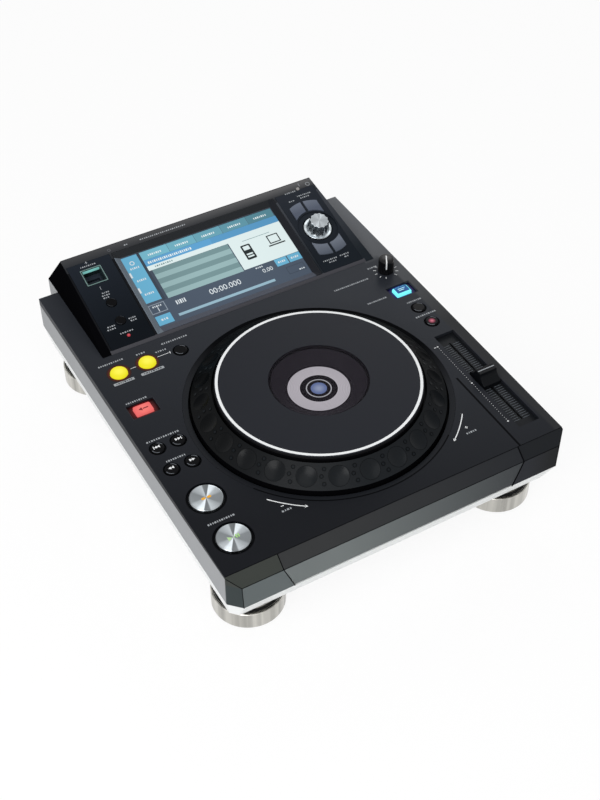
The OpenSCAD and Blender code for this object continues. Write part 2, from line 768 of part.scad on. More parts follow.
// Display housing; its inner walls run parallel to the outer ones
function top_line(y, inset) = trim_h - inset / cos(tilt) + (y - slope_y) * tan(tilt);
function back_line(z, inset) = rear_y - inset / sin(atan2(ridge_z, back_run)) - z * back_run / ridge_z;
function ridge(inset) = let (k = back_run / ridge_z)
    (back_line(0, inset) - k * top_line(0, inset)) / (1 + k * tan(tilt));
module housing_shape(inset) intersection() {
    front = housing_y + inset;
    top = slope_y + inset;
    back = back_line(0, inset);
    along_x(-housing_half, housing_half)
        polygon([[front, -over], [front, 0], [top, top_line(top, inset)],
                 [ridge(inset), top_line(ridge(inset), inset)], [back, 0], [back, -over]]);
    along_y(housing_y - over, rear_y + over)
        polygon([[-housing_half + inset, -over], [-housing_half + inset, 0], [-ridge_half + inset, ridge_z],
                 [ridge_half - inset, ridge_z], [housing_half - inset, 0], [housing_half - inset, -over]]);
    block([-housing_half, housing_half], [housing_y, rear_y], [inset > 0 ? -over : 0, ridge_z]);
}
module panel_at(side) translate([side * panel_x, panel_s0 + panel_l / 2, 0]) children();
module frame_at() translate([0, frame_s + frame_l / 2, 0]) children();
module seat(w, l, depth) {
    slab(w + 2 * fit, l + 2 * fit, -depth, over);
    slab(w - 2 * seat_w, l - 2 * seat_w, -3 * housing_t, over);
}
standby_out = 5;
standby_back = 8.3;
standby_at = [panel_x + standby_out, slope_len - standby_back];
lamp_r = 1.5;
module display_housing() color(black) difference() {
    on_deck() difference() {
        housing_shape(0);
        housing_shape(housing_t);
    }
    on_slope() {
        frame_at() seat(frame_w, frame_l, panel_t);
        for (side = [-1, 1]) panel_at(side) seat(panel_w, panel_l, panel_t);
        at(standby_at) drum(lamp_r + fit, -2 * housing_t, over);
    }
}

// Screen frame with bevels down to the screen
frame_low_w = frame_w - 2 * seat_w - 2 * fit;
frame_low_l = frame_l - 2 * seat_w - 2 * fit;
screen_lap = 1.5;
screen_in_w = screen_w + 2 * screen_lap;
screen_in_l = screen_l + 2 * screen_lap;
module bevel_outline(low, high) polygon([
    [-low, -screen_sink - over], [low, -screen_sink - over], [low, -screen_sink], [high, 0],
    [high, over], [-high, over], [-high, 0], [-low, -screen_sink]]);
module bevel_cut() intersection() {
    along_y(-frame_l, frame_l) bevel_outline(screen_w / 2, frame_w / 2 - rim_w);
    along_x(-frame_w, frame_w) bevel_outline(screen_l / 2, frame_l / 2 - rim_w);
}
lip_under = 0.8;
screen_top = -screen_sink - lip_under;
module screen_frame() color(dark_grey) on_slope() frame_at() difference() {
    union() {
        slab(frame_w, frame_l, -panel_t, 0);
        slab(frame_low_w, frame_low_l, screen_top - screen_t, -panel_t);
    }
    bevel_cut();
    slab(screen_in_w, screen_in_l, screen_top - screen_t - over, screen_top);
}
module touch_screen() color([0.35, 0.5, 0.6]) on_slope() frame_at()
    slab(screen_in_w - 2 * fit, screen_in_l - 2 * fit, screen_top - screen_t, screen_top);

// Panel on the left of the screen, with the memory socket in its lit frame
time_shift = 0.8;
port_shift = 1.8;
stop_at = [usb_x, stop_s];
time_at = [usb_x - time_shift, time_s];
quantize_at = [usb_x - time_shift, lamp_s];
port_at = [usb_x - port_shift, port_s];
stop_board_s = (stop_s + time_s) / 2;
stop_board_reach = stop_s - stop_board_s + switch_w;
boss_x = panel_w / 2 - seat_w - boss_r - boss_gap;
module panel_key_hole(r) drum(r + key_clear, -panel_t - over, over);
module panel_posts(x, s) for (i = [-1, 1])
    translate([x + i * boss_x, s, 0]) drum(boss_r, -panel_board_drop, -panel_t);
module usb_panel() color(black) on_slope() difference() {
    union() {
        panel_at(-1) slab(panel_w, panel_l, -panel_t, 0);
        panel_posts(-panel_x, stop_board_s);
    }
    at(port_at) slab(port_w + 2 * fit, port_l + 2 * fit, -panel_t - over, over);
    at(stop_at) panel_key_hole(panel_key_r);
    at(time_at) panel_key_hole(panel_key_r);
    at(quantize_at) drum(lamp_r + fit, -panel_t - over, over);
}
module usb_light_frame() color([0.55, 0.75, 0.75]) on_slope() at(port_at) difference() {
    slab(port_w, port_l, -port_depth, port_rise);
    slab(port_w - 2 * port_t, port_l - 2 * port_t, -port_depth - over, over);
}
module usb_socket() color(bright) on_slope() at(port_at) difference() {
    union() {
        slab(port_w, port_l, -port_depth - port_base_t, -port_depth);
        slab(socket_w, socket_l, -port_depth - socket_depth, -port_depth - port_base_t);
    }
    difference() {
        slab(socket_mouth_w, socket_mouth_l, over - port_depth - socket_depth, -port_depth + over);
        translate([0, (socket_mouth_l - contact_t) / 2 - over, 0])
            slab(contact_w, contact_t, -port_depth - socket_depth, -port_depth - port_base_t);
    }
}
module lamp(drop) {
    drum(lamp_r, -drop, 0);
    intersection() {
        translate([0, 0, -lamp_r]) sphere(lamp_r * sqrt(2));
        drum(lamp_r, 0, lamp_r);
    }
}
module indicator_lamps() color([0.8, 0.1, 0.1]) on_slope() {
    at(quantize_at) lamp(panel_board_drop - board_t);
    at(standby_at) lamp(housing_t);
}

// Panel on the right of the screen, with the selector in its pocket and four browse buttons
selector_at = [selector_x, selector_s];
function browse_middle(i, j) = [i * (browse_gap + browse_w) / 2, j * (arc_r + browse_reach) / 2];
module browse_outline(i, j, grow) difference() {
    intersection() {
        translate([i * (browse_gap + browse_w) / 2, j * browse_reach / 2])
            square([browse_w + 2 * grow, browse_reach + 2 * grow], center = true);
        circle(browse_reach + grow);
    }
    circle(arc_r - grow);
}
module selector_panel() color(black) on_slope() difference() {
    union() {
        panel_at(1) slab(panel_w, panel_l, -panel_t, 0);
        panel_posts(selector_x, selector_s);
        at(selector_at) drum(pocket_r + pocket_wall, -pocket_depth - pocket_wall, -panel_t);
    }
    at(selector_at) {
        drum(dish_r, -selector_dish, over);
        drum(pocket_r, -pocket_depth, over);
        drum(shaft_hole_r, -pocket_depth - pocket_wall - over, over);
        for (i = [-1, 1], j = [-1, 1]) translate([0, 0, -panel_t - over])
            linear_extrude(panel_t + 2 * over) browse_outline(i, j, key_clear);
    }
}
module browse_key(i, j) on_slope() at(selector_at) {
    low = -panel_t - key_gap;
    translate([0, 0, low]) linear_extrude(browse_rise - low) browse_outline(i, j, 0);
    translate([0, 0, low - flange_t]) linear_extrude(flange_t) browse_outline(i, j, flange_w);
    at(browse_middle(i, j)) key_foot(panel_t);
}
module back_button() color(dark_grey) browse_key(-1, 1);
module tag_button() color(dark_grey) browse_key(1, 1);
module filter_button() color(dark_grey) browse_key(-1, -1);
module shortcut_button() color(dark_grey) browse_key(1, -1);
module selector_shaft() color(bright) on_slope() at(selector_at)
    drum(shaft_r, shaft_end, shaft_top - stop_gap);
module selector_knob() color(bright) on_slope() at(selector_at) difference() {
    union() {
        drum(skirt_r, skirt_lift, skirt_lift + skirt_t);
        translate([0, 0, skirt_lift]) cylinder(r1 = grip_r + grip_flare, r2 = grip_r, h = grip_h);
    }
    for (i = [0:flute_count - 1]) rotate(i * 360 / flute_count) translate([grip_r + flute_out, 0, 0])
        drum(flute_r, skirt_lift + skirt_t, grip_top + over);
    drum(shaft_r + shaft_fit, skirt_lift - over, shaft_top);
}

// Buttons: a cap with a flange under the deck and a short stem over its switch
module key_foot(t) drum(stem_r, -t - stem_drop, -t - key_gap);
module round_key(r, rise, t, round_r) {
    low = -t - key_gap;
    rotate_extrude() polygon(concat(
        [[0, rise]], arc([r - round_r, rise - round_r], round_r, 90, 0),
        [[r, low], [r + flange_w, low], [r + flange_w, low - flange_t], [0, low - flange_t]]));
    key_foot(t);
}
module bar_outline(half, low) polygon([
    [-half, low], [half, low], [half, bar_rise - bar_bevel], [half - bar_bevel, bar_rise],
    [bar_bevel - half, bar_rise], [-half, bar_rise - bar_bevel]]);
module bar_key() {
    low = -deck_t - key_gap;
    intersection() {
        along_y(-bar_key_l, bar_key_l) bar_outline(bar_key_w / 2, low);
        along_x(-bar_key_w, bar_key_w) bar_outline(bar_key_l / 2, low);
    }
    slab(bar_key_w + 2 * flange_w, bar_key_l + 2 * flange_w, low - flange_t, low);
    key_foot(deck_t);
}
module deck_key(p, r, rise, round_r) on_deck() at(p) round_key(r, rise, deck_t, round_r);
module panel_key(p) on_slope() at(p) round_key(panel_key_r, key_rise, panel_t, edge_r / 2);
module play_button() color(bright) deck_key(play_at, play_r, disc_rise, edge_r);
module cue_button() color(bright) deck_key(cue_at, cue_r, disc_rise, edge_r);
module loop_in_button() color([0.95, 0.85, 0.2]) deck_key(loop_in_at, loop_r, loop_rise, 2 * edge_r);
module loop_out_button() color([0.95, 0.85, 0.2]) deck_key(loop_out_at, loop_r, loop_rise, 2 * edge_r);
module reloop_button() color(soft_black) deck_key(reloop_at, key_r, key_rise, edge_r);
module track_back_button() color(soft_black) deck_key(track_back_at, key_r, key_rise, edge_r);
module track_forward_button() color(soft_black) deck_key(track_forward_at, key_r, key_rise, edge_r);
module search_back_button() color(soft_black) deck_key(search_back_at, key_r, key_rise, edge_r);
module search_forward_button() color(soft_black) deck_key(search_forward_at, key_r, key_rise, edge_r);
module tempo_range_button() color(soft_black) deck_key(range_at, key_r, key_rise, edge_r);
module master_tempo_button() color(soft_black) deck_key(master_at, key_r, key_rise, edge_r);
module reverse_button() color([0.9, 0.4, 0.36]) on_deck() at(reverse_at) bar_key();
module jog_mode_button() color([0.35, 0.75, 0.9]) on_deck() at(mode_at) bar_key();
module usb_stop_button() color(soft_black) panel_key(stop_at);
module time_mode_button() color(soft_black) panel_key(time_at);

// Speed knob on the shaft of its potentiometer
knob_low = board_top + pot_h + stop_gap;
knob_top = knob_lift + knob_h;
module vinyl_speed_knob() color(black) on_deck() at(knob_at) rotate_extrude() polygon(concat(
    [[0, knob_top]], arc([knob_top_r - edge_r, knob_top - edge_r], edge_r, 90, 0),
    [[knob_r, knob_lift], [knob_shaft_r, knob_lift], [knob_shaft_r, knob_low], [0, knob_low]]));

// Tempo fader: recessed plate, slide unit, lever and cap
fader_top = -fader_sink;
fader_low = fader_top - fader_plate_t;
slot_l = fader_travel + lever_l + 2 * stop_gap;
unit_low = fader_low - unit_depth;
module at_fader() on_deck() at([right_x, fader_y]) children();
module fader_plate() color(dark_grey) at_fader() difference() {
    slab(fader_w + 2 * fader_rim, 2 * fader_half + 2 * fader_rim, fader_low, -deck_t);
    slab(fader_w, 2 * fader_half, fader_top, over);
    slab(slot_w, slot_l, fader_low - over, over);
}
module fader_unit() color(bright) at_fader() difference() {
    slab(unit_w, slot_l + 2 * fader_rim, unit_low, fader_low);
    slab(unit_w - 2 * unit_wall, slot_l, unit_low + unit_wall, fader_low - unit_wall);
    slab(slot_w, slot_l, unit_low + unit_wall, fader_low + over);
}
cap_low = -cap_dip;
module tempo_fader_lever() color(bright) at_fader()
    slab(lever_t, lever_l, fader_low - lever_drop, cap_low + cap_socket);
module tempo_fader_cap() color(black) at_fader() difference() {
    along_x(-cap_w / 2, cap_w / 2) polygon(concat(
        [[-cap_l / 2, cap_low], [cap_l / 2, cap_low], [cap_l / 2, cap_low + cap_foot]],
        arc([cap_l / 2, cap_h], (cap_l - cap_top_l) / 2, 180 + cap_sweep, 180),
        arc([-cap_l / 2, cap_h], (cap_l - cap_top_l) / 2, 0, -cap_sweep),
        [[-cap_l / 2, cap_low + cap_foot]]));
    slab(lever_t, lever_l, cap_low - over, cap_low + cap_socket);
}

// Control boards with a switch under each button
module board_switches(points, t) for (p = points) at(p)
    slab(switch_w, switch_w, -t - board_drop, -t - board_drop + switch_h);
module panel_board(x, s, reach) translate([x, s, 0])
    slab(2 * (boss_x + boss_r), 2 * reach, -panel_board_drop - board_t, -panel_board_drop);
module key_boards() color(board_green) {
    on_deck() {
        block([left_board_x0, left_board_x1], [board_y0, board_y1], [board_low, board_top]);
        block([left_board_x1, loop_board_x1], [loop_board_y0, board_y1], [board_low, board_top]);
        block([right_board_x0, right_board_x1], [right_board_y0, right_board_y1], [board_low, board_top]);
        board_switches(concat(left_keys, right_keys), deck_t);
        at(knob_at) slab(pot_w, pot_w, board_top, board_top + pot_h);
    }
    on_slope() {
        panel_board(selector_x, selector_s, browse_reach);
        at(selector_at) slab(encoder_w, encoder_w, -panel_board_drop, encoder_h - panel_board_drop);
        board_switches([for (i = [-1, 1], j = [-1, 1]) selector_at + browse_middle(i, j)], panel_t);
        panel_board(-panel_x, stop_board_s, stop_board_reach);
        board_switches([stop_at, time_at], panel_t);
    }
}

// Boards in the pan
stand_top = pan_floor_z + stand_h;
board_face = stand_top + board_t;
module main_board() color(board_green) on_deck() translate([0, jog_y, 0]) {
    slab(main_board_size.x, main_board_size.y, stand_top, board_face);
    for (i = [-1, 0, 1]) translate([i * main_board_size.x / 4, 0, 0])
        slab(chip_w, chip_w, board_face, board_face + chip_h);
}
module power_board() color(board_green) on_deck() translate([power_board_x, power_board_y, 0]) {
    slab(power_board_size.x, power_board_size.y, stand_top, board_face);
    translate([-power_board_size.x / 5, 0, 0])
        slab(transformer.x, transformer.y, board_face, board_face + transformer.z);
    for (j = [-1, 1]) translate([power_board_size.x / 4, j * power_board_size.y / 4, 0])
        drum(capacitor_r, board_face, board_face + transformer.z);
}

// Rear panel and its sockets, from the left
rear_half = block_half - wall_t - fit;
module on_rear(i) on_deck() translate([sockets_x[i], rear_face_y, jack_z]) rotate([90, 0, 180]) children();
module rear_cut(i, w, h) on_rear(i) slab(w + 2 * fit, h + 2 * fit, -rear_t - over, over);
module rear_panel() color(black) difference() {
    on_deck() {
        block([-rear_half, rear_half], [rear_face_y - rear_t, rear_face_y], [pan_floor_z, 0]);
        block([-rear_half, rear_half], [rear_face_y, rear_y], [-rear_t, 0]);
    }
    for (i = [0, 1, 2]) on_rear(i) drum(rca_r + fit, -rear_t - over, over);
    rear_cut(3, lan_w, lan_h);
    rear_cut(4, usb_b_w, usb_b_h);
    rear_cut(5, ac_w, ac_h);
    rear_cut(6, switch_key_w, switch_key_h);
}
module rca_jacks() color(bright) for (i = [0, 1, 2]) on_rear(i) difference() {
    union() {
        drum(rca_r, -rear_t - rca_back, rca_l);
        slab(rca_base, rca_base, -rear_t - rca_back, -rear_t);
        drum(rca_base / 2, 0, rca_base_t);
    }
    drum(rca_bore, -rear_t, rca_l + over);
}
module lan_jack() color(bright) on_rear(3) difference() {
    slab(lan_w, lan_h, -jack_depth, jack_proud);
    translate([0, lan_mouth_y, 0]) slab(lan_mouth.x, lan_mouth.y, jack_back_t - jack_depth, over);
    translate([0, lan_key_y, 0]) slab(lan_key.x, lan_key.y, jack_back_t - jack_depth, over);
}
module usb_b_jack() color(bright) on_rear(4) difference() {
    slab(usb_b_w, usb_b_h, -jack_depth, jack_proud);
    difference() {
        slab(usb_b_mouth.x, usb_b_mouth.y, jack_back_t - jack_depth, over);
        slab(usb_b_tongue.x, usb_b_tongue.y, -jack_depth, -contact_sink);
    }
}
module ac_inlet() color(black) on_rear(5) difference() {
    union() {
        slab(ac_w, ac_h, -ac_depth, 0);
        slab(ac_w + 2 * ac_flange, ac_h + 2 * ac_flange, 0, ac_flange);
    }
    difference() {
        translate([0, 0, ac_back_t - ac_depth]) linear_extrude(ac_depth) ac_outline();
        for (p = ac_pins) at(p) slab(ac_pin.x, ac_pin.y, -ac_depth, -contact_sink);
    }
}
module ac_outline() polygon([
    [-ac_mouth.x, -ac_mouth.y], [ac_mouth.x, -ac_mouth.y],
    [ac_mouth.x, ac_mouth.y - ac_corner], [ac_mouth.x - ac_corner, ac_mouth.y],
    [ac_corner - ac_mouth.x, ac_mouth.y], [-ac_mouth.x, ac_mouth.y - ac_corner]]);
module power_switch() color(soft_black) on_rear(6) {
    slab(switch_key_w, switch_key_h, -rear_t - stop_gap, power_proud);
    slab(switch_key_w + 2 * power_flange, switch_key_h + 2 * power_flange,
         -rear_t - stop_gap - power_flange, -rear_t - stop_gap);
}

// Feet
post_base_r = foot_r - foot_ring_t - fit;
ring_top = foot_ring_z + foot_ring_h;
shoulder_top = ring_top + foot_shoulder;
module at_feet() for (p = foot_places) translate([p.x, p.y + deck_front_y, 0]) children();
module foot_posts() color(black) at_feet() rotate_extrude()
    polygon([[0, pad_t], [post_base_r, pad_t], [post_base_r, ring_top - foot_reveal],
             [washer_r + foot_edge, shoulder_top - 2 * foot_edge], [washer_r, shoulder_top],
             [neck_r, shoulder_top], [neck_r, foot_h], [0, foot_h]]);
module foot_rings() color(bright) at_feet() rotate_extrude() {
    polygon([[foot_r - foot_ring_t, foot_ring_z], [foot_r - foot_edge, foot_ring_z],
             [foot_r, foot_ring_z + foot_edge], [foot_r, ring_top - foot_edge],
             [foot_r - foot_edge, ring_top], [foot_r - foot_ring_t, ring_top]]);
    translate([neck_r, shoulder_top]) square([washer_r - neck_r, washer_t]);
}
module foot_pads() color(black) at_feet() drum(pad_r, 0, pad_t);
module case_screws() color(bright) on_deck() for (p = screw_places) at(p) {
    drum(screw_r - fit / 2, pan_z - screw_head_t, pan_z + screw_l - fit);
    drum(screw_head_r, pan_z - screw_head_t, pan_z);
}

bottom_pan();
side_panel_left();
side_panel_right();
top_cover();
front_apron();
front_corner_left();
front_corner_right();
jog_well();
jog_bearing();
jog_display();
jog_ring();
jog_plate();
jog_window();
display_housing();
screen_frame();
touch_screen();
usb_panel();
selector_panel();
usb_light_frame();
usb_socket();
indicator_lamps();
rear_panel();
ac_inlet();
lan_jack();
usb_b_jack();
rca_jacks();
power_switch();
fader_plate();
fader_unit();
tempo_fader_lever();
tempo_fader_cap();
key_boards();
main_board();
power_board();
foot_posts();
foot_rings();
foot_pads();
case_screws();
vinyl_speed_knob();
selector_shaft();
selector_knob();
play_button();
cue_button();
loop_in_button();
loop_out_button();
reloop_button();
reverse_button();
track_back_button();
track_forward_button();
search_back_button();
search_forward_button();
jog_mode_button();
tempo_range_button();
master_tempo_button();
back_button();
tag_button();
filter_button();
shortcut_button();
usb_stop_button();
time_mode_button();
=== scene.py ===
"""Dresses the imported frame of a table-top media player and sets it in a plain studio.

Shapes are worked out in millimetres of a local frame: the deck (x to the player's right, y back
from the deck's front edge, z up from the deck), the slope of the display housing, the jog wheel's
axis or the floor. The frame's matrix then turns them into metres of the row frame.
"""
from math import cos, pi, radians, sin

import bpy
import numpy as np
from mathutils import Matrix, Vector


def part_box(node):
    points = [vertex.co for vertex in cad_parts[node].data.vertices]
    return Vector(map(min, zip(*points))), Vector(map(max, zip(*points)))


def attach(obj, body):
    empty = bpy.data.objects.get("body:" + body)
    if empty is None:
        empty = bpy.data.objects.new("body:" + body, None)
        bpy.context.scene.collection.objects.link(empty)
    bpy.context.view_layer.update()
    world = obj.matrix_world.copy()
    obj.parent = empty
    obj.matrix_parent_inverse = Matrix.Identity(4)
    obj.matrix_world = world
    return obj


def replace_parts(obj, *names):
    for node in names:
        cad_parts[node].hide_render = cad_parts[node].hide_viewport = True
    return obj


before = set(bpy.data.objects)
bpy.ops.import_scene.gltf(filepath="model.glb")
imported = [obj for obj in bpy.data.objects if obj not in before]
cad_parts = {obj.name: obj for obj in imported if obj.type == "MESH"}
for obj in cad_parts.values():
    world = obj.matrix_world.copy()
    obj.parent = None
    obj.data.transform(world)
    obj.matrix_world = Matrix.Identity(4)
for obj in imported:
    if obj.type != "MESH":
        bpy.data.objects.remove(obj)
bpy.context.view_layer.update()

bl_info = {
    "name": "Media Player Dressing",
    "version": (1, 1, 0),
    "blender": (4, 5, 0),
    "location": "3D View > Sidebar > Player",
    "description": "Finishes, prints and lit pieces of a table-top media player",
    "category": "Object",
}

# Local frames: where the deck, the slope and the jog wheel's axis lie, in metres and degrees
DECK_FRONT = -0.183853
DECK_TOP = 0.0845
SLOPE_FOOT = (0.0, 0.074147, 0.0854)
SLOPE_TILT = 15.1
JOG_AXIS = -0.057653

# Print and the layers of the picture, in millimetres
INK = 0.06
LAYER = 0.05
DASH_PITCH = 2.0
# A figure's height as a share of its font's size, and half an arrow head's width as a share of its length
FIGURE_SHARE = 0.7
ARROW_HALF = 0.6
# Edges of new pieces that are flatter than this are shaded smooth, in degrees
SMOOTH_ANGLE = 35.0


def local_frame(origin, tilt=0.0):
    """Millimetres turned about X by tilt degrees and moved to origin: a 4 x 4 matrix to metres."""
    turn = Matrix.Rotation(radians(tilt), 4, "X")
    return np.array(Matrix.Translation(origin) @ turn @ Matrix.Scale(0.001, 4))


FLOOR = local_frame((0.0, 0.0, 0.0))
DECK = local_frame((0.0, DECK_FRONT, DECK_TOP))
JOG = local_frame((0.0, JOG_AXIS, DECK_TOP))
SLOPE = local_frame(SLOPE_FOOT, SLOPE_TILT)
REAR = local_frame((0.0, 0.0, 0.0), 90.0) @ np.diag([-1.0, 1.0, -1.0, 1.0])


def linear(red, green, blue):
    """The scene's linear colour for red, green and blue as seen on screen, 0 to 255."""
    shade = np.array([red, green, blue]) / 255.0
    bent = np.where(shade <= 0.04045, shade / 12.92, ((shade + 0.055) / 1.055) ** 2.4)
    return tuple(float(value) for value in bent)


def tint(name, description, rgb):
    """A colour property with its default given as seen on screen."""
    return bpy.props.FloatVectorProperty(
        name=name, description=description, subtype="COLOR", size=3, min=0.0, max=1.0, default=linear(*rgb)
    )


def length(name, description, millimetres):
    """A length property in metres with its default given in millimetres."""
    return bpy.props.FloatProperty(
        name=name,
        description=description,
        subtype="DISTANCE",
        unit="LENGTH",
        min=0.0,
        default=millimetres / 1000,
    )


def power(name, description, watts):
    """A lamp's power in watts."""
    return bpy.props.FloatProperty(name=name, description=description, unit="POWER", min=0.0, default=watts)


class CaseColours(bpy.types.PropertyGroup):
    """Colours of the case and its bare parts."""

    deck: tint("Deck", "Satin paint of the deck, at the front left", (15, 17, 22))
    # The rear deck colour is painted reflection: the deck is lighter towards its back right.
    deck_rear_reflection: tint("Rear deck", "Lighter paint towards the deck's back right", (40, 43, 49))
    # The deck edge colour is a painted highlight along the right edge, lightest at the back.
    edge: tint("Deck edge", "Lighter paint along the deck's right edge, at the back", (119, 122, 127))
    bevel: tint("Front bevel", "Satin grey of the bevel along the front", (52, 53, 54))
    # The front face colour is painted reflection at its lit left end; paint_front fades it to painted shade
    # at the right.
    face: tint("Front face", "Satin grey of the front under its bevel", (110, 116, 116))
    side: tint("Sides", "Silver paint of the side panels", (144, 146, 149))
    pan: tint("Pan", "Pale paint of the pan", (236, 238, 238))
    gloss: tint("Housing", "Gloss black of the display housing", (24, 25, 28))
    trim: tint("Housing trim", "Grey strip along the housing's front edge", (70, 70, 75))
    grip: tint("Jog grip", "Soft paint of the jog wheel's dimpled ring", (17, 20, 23))
    plate: tint("Jog plate", "Satin top of the jog wheel", (32, 34, 40))
    metal: tint("Bright metal", "Selector and key discs", (172, 178, 182))
    foot: tint("Feet", "Brushed rings of the feet", (188, 186, 180))
    ink: tint("Print", "White print on the deck", (236, 238, 239))


class LitColours(bpy.types.PropertyGroup):
    """Colours of the lit keys and lamps."""

    loop: tint("Loop keys", "Lit yellow of the two loop keys", (250, 240, 40))
    loop_halo: tint("Loop halo", "Orange light round the loop keys", (190, 66, 14))
    reverse: tint("Direction key", "Lit salmon of the direction key", (236, 122, 114))
    reverse_halo: tint("Direction halo", "Red light on the direction key's recess", (170, 30, 36))
    mode: tint("Jog-mode key", "Lit cyan of the jog-mode key", (120, 244, 250))
    mode_halo: tint("Jog-mode halo", "Violet light on the jog-mode key's recess", (60, 54, 190))
    play: tint("Play sign", "Green of the play and pause signs", (150, 225, 70))
    cue: tint("Cue sign", "Amber of the cue sign", (232, 170, 56))
    lamp: tint("Lamps", "Red of the small lamp", (214, 60, 72))
    memory: tint("Memory slot", "Pale teal round the memory slot", (128, 200, 194))
    jog: tint("Jog label", "Blue light in the middle of the jog wheel", (125, 146, 205))


class ScreenColours(bpy.types.PropertyGroup):
    """Colours of the picture on the touch screen."""

    ground: tint("Ground", "Slate ground of the picture", (80, 92, 108))
    tab: tint("Tabs", "Teal blue of the tab row", (124, 192, 212))
    header: tint("Header", "Blue of the header row", (98, 168, 216))
    button: tint("Buttons", "Light blue of the buttons", (112, 186, 220))
    row_dark: tint("Dark rows", "Darker rows of the list", (122, 152, 155))
    row_light: tint("Light rows", "Lighter rows of the list", (156, 187, 189))
    paper: tint("Panel", "White panel beside the list", (228, 243, 243))


class StudioSettings(bpy.types.PropertyGroup):
    """Light and floor of the studio."""

    floor: tint("Floor", "Pale floor under the player", (250, 250, 250))
    floor_size: length("Floor size", "Side of the square floor", 4000.0)
    world_level: bpy.props.FloatProperty(
        name="World level", description="Even white light from all sides", min=0.0, default=0.5
    )
    key_power: power("Key light", "Power of the soft light at the front left", 13.0)
    top_power: power("Top light", "Power of the wide light overhead", 7.0)
    back_power: power("Back light", "Power of the light at the back right, which the rear deck mirrors", 7.0)


# Outlines and surfaces


def circle(radius, centre=(0.0, 0.0), count=48):
    """Points at equal steps of angle round a centre, anticlockwise."""
    angle = np.linspace(0.0, 2.0 * pi, count, endpoint=False)
    return np.stack([centre[0] + radius * np.cos(angle), centre[1] + radius * np.sin(angle)], axis=1)


def rounded(width, depth, corner, centre=(0.0, 0.0), count=6):
    """A rectangle whose corners are quarter circles of radius corner, anticlockwise."""
    angle = np.arange(4)[:, None] * pi / 2 + np.linspace(0.0, pi / 2, count)
    side_x = np.array([1, -1, -1, 1])[:, None] * (width / 2 - corner)
    side_y = np.array([1, 1, -1, -1])[:, None] * (depth / 2 - corner)
    x = centre[0] + side_x + corner * np.cos(angle)
    y = centre[1] + side_y + corner * np.sin(angle)
    return np.stack([x.ravel(), y.ravel()], axis=1)


def oblong(low, high):
    """A plain rectangle between two corners, anticlockwise."""
    return np.array([low, (high[0], low[1]), high, (low[0], high[1])], float)


def arc_band(radius, width, first, last, centre=(0.0, 0.0), count=24):
    """An arc of that width from the first to the last angle in degrees: outer edge out, inner edge back."""
    angle = np.radians(np.linspace(first, last, count))
    around = np.stack([np.cos(angle), np.sin(angle)], axis=1)
    outer = (radius + width / 2) * around
    inner = (radius - width / 2) * around[::-1]
    return np.concatenate([outer, inner]) + np.array(centre)


def arrow_head(tip, angle, size):
    """A triangle with its tip at a point, aimed along an angle in degrees."""
    along = np.array([cos(radians(angle)), sin(radians(angle))])
    across = np.array([-along[1], along[0]])
    back = np.array(tip) - along * size
    half = across * size * ARROW_HALF
    return np.array([tip, back + half, back - half])


def stack(outlines, heights):
    """Closed outlines of equal count, each lifted to its height: the rows of one surface."""
    flat = np.stack(outlines)
    lift = np.broadcast_to(np.asarray(heights, float)[:, None, None], flat.shape[:2] + (1,))
    return np.concatenate([flat, lift], axis=2)


def turned(profile, centre=(0.0, 0.0), count=64):
    """A profile of (radius, height) points carried round a vertical axis: a circle for each point."""
    radius, height = np.asarray(profile, float).T
    return waved(radius, height, np.zeros_like(radius), np.zeros(count), centre)


def waved(radius, height, depth, wave, centre):
    """A profile carried round an axis whose radius dips with the angle: radius less depth times the wave,
    which holds one value for each step of angle."""
    angle = np.linspace(0.0, 2.0 * pi, len(wave), endpoint=False)
    reach = radius[:, None] - depth[:, None] * wave
    x, y = centre[0] + reach * np.cos(angle), centre[1] + reach * np.sin(angle)
    return np.stack([x, y, np.broadcast_to(height[:, None], x.shape)], axis=2)


def loft(rows, ring=False):
    """Quads between neighbouring rows of closed outlines, with the ends capped unless the rows close on
    themselves. Gives points, the corners of all faces in one run, and the corner count of each face."""
    count, around = rows.shape[:2]
    index = np.arange(count * around).reshape(count, around)
    if ring:
        index = np.vstack([index, index[:1]])
    beside = np.roll(index, -1, axis=1)
    quads = np.stack([index[:-1], beside[:-1], beside[1:], index[1:]], axis=-1).reshape(-1, 4)
    corners, sizes = quads.ravel(), np.full(len(quads), 4)
    if not ring:
        corners = np.concatenate([corners, index[0, ::-1], index[-1]])
        sizes = np.concatenate([sizes, [around, around]])
    return rows.reshape(-1, 3), corners, sizes


def slab(outline, low, high):
    """An outline carried straight up from one height to another."""
    return loft(stack([outline, outline], [low, high]))


def pillow(outline_of, low, high, edge, steps=5):
    """A slab with a rounded upper edge: its outline draws in along a quarter circle of radius edge."""
    angle = np.linspace(0.0, pi / 2, steps)
    inset = np.concatenate([[0.0], edge * (1.0 - np.cos(angle))])
    height = np.concatenate([[low], high - edge + edge * np.sin(angle)])
    return loft(stack([outline_of(value) for value in inset], height))


def ring_slab(inner, outer, low, high, centre=(0.0, 0.0), count=64):
    """A flat ring of rectangular section carried round a centre."""
    profile = [(outer, low), (outer, high), (inner, high), (inner, low)]
    return loft(turned(profile, centre, count), ring=True)


def frame_slab(inner, outer, low, high):
    """A flat frame between two outlines of equal count."""
    return loft(stack([outer, outer, inner, inner], [low, high, high, low]), ring=True)


def repeated(shape, frames):
    """One shape set at many places: frames holds a 3 x 3 matrix and an origin for each copy."""
    points, corners, sizes = shape
    turns, origins = frames
    placed = np.einsum("kij,nj->kni", turns, points) + origins[:, None, :]
    offset = np.arange(len(origins))[:, None] * len(points)
    return placed.reshape(-1, 3), (corners + offset).ravel(), np.tile(sizes, len(origins))


def upright(origins, scales=(1.0, 1.0, 1.0)):
    """Unturned frames at the given points, stretched by the scales along each axis."""
    origins = np.asarray(origins, float)
    scales = np.broadcast_to(np.asarray(scales, float), origins.shape)
    return np.eye(3) * scales[:, None, :], origins


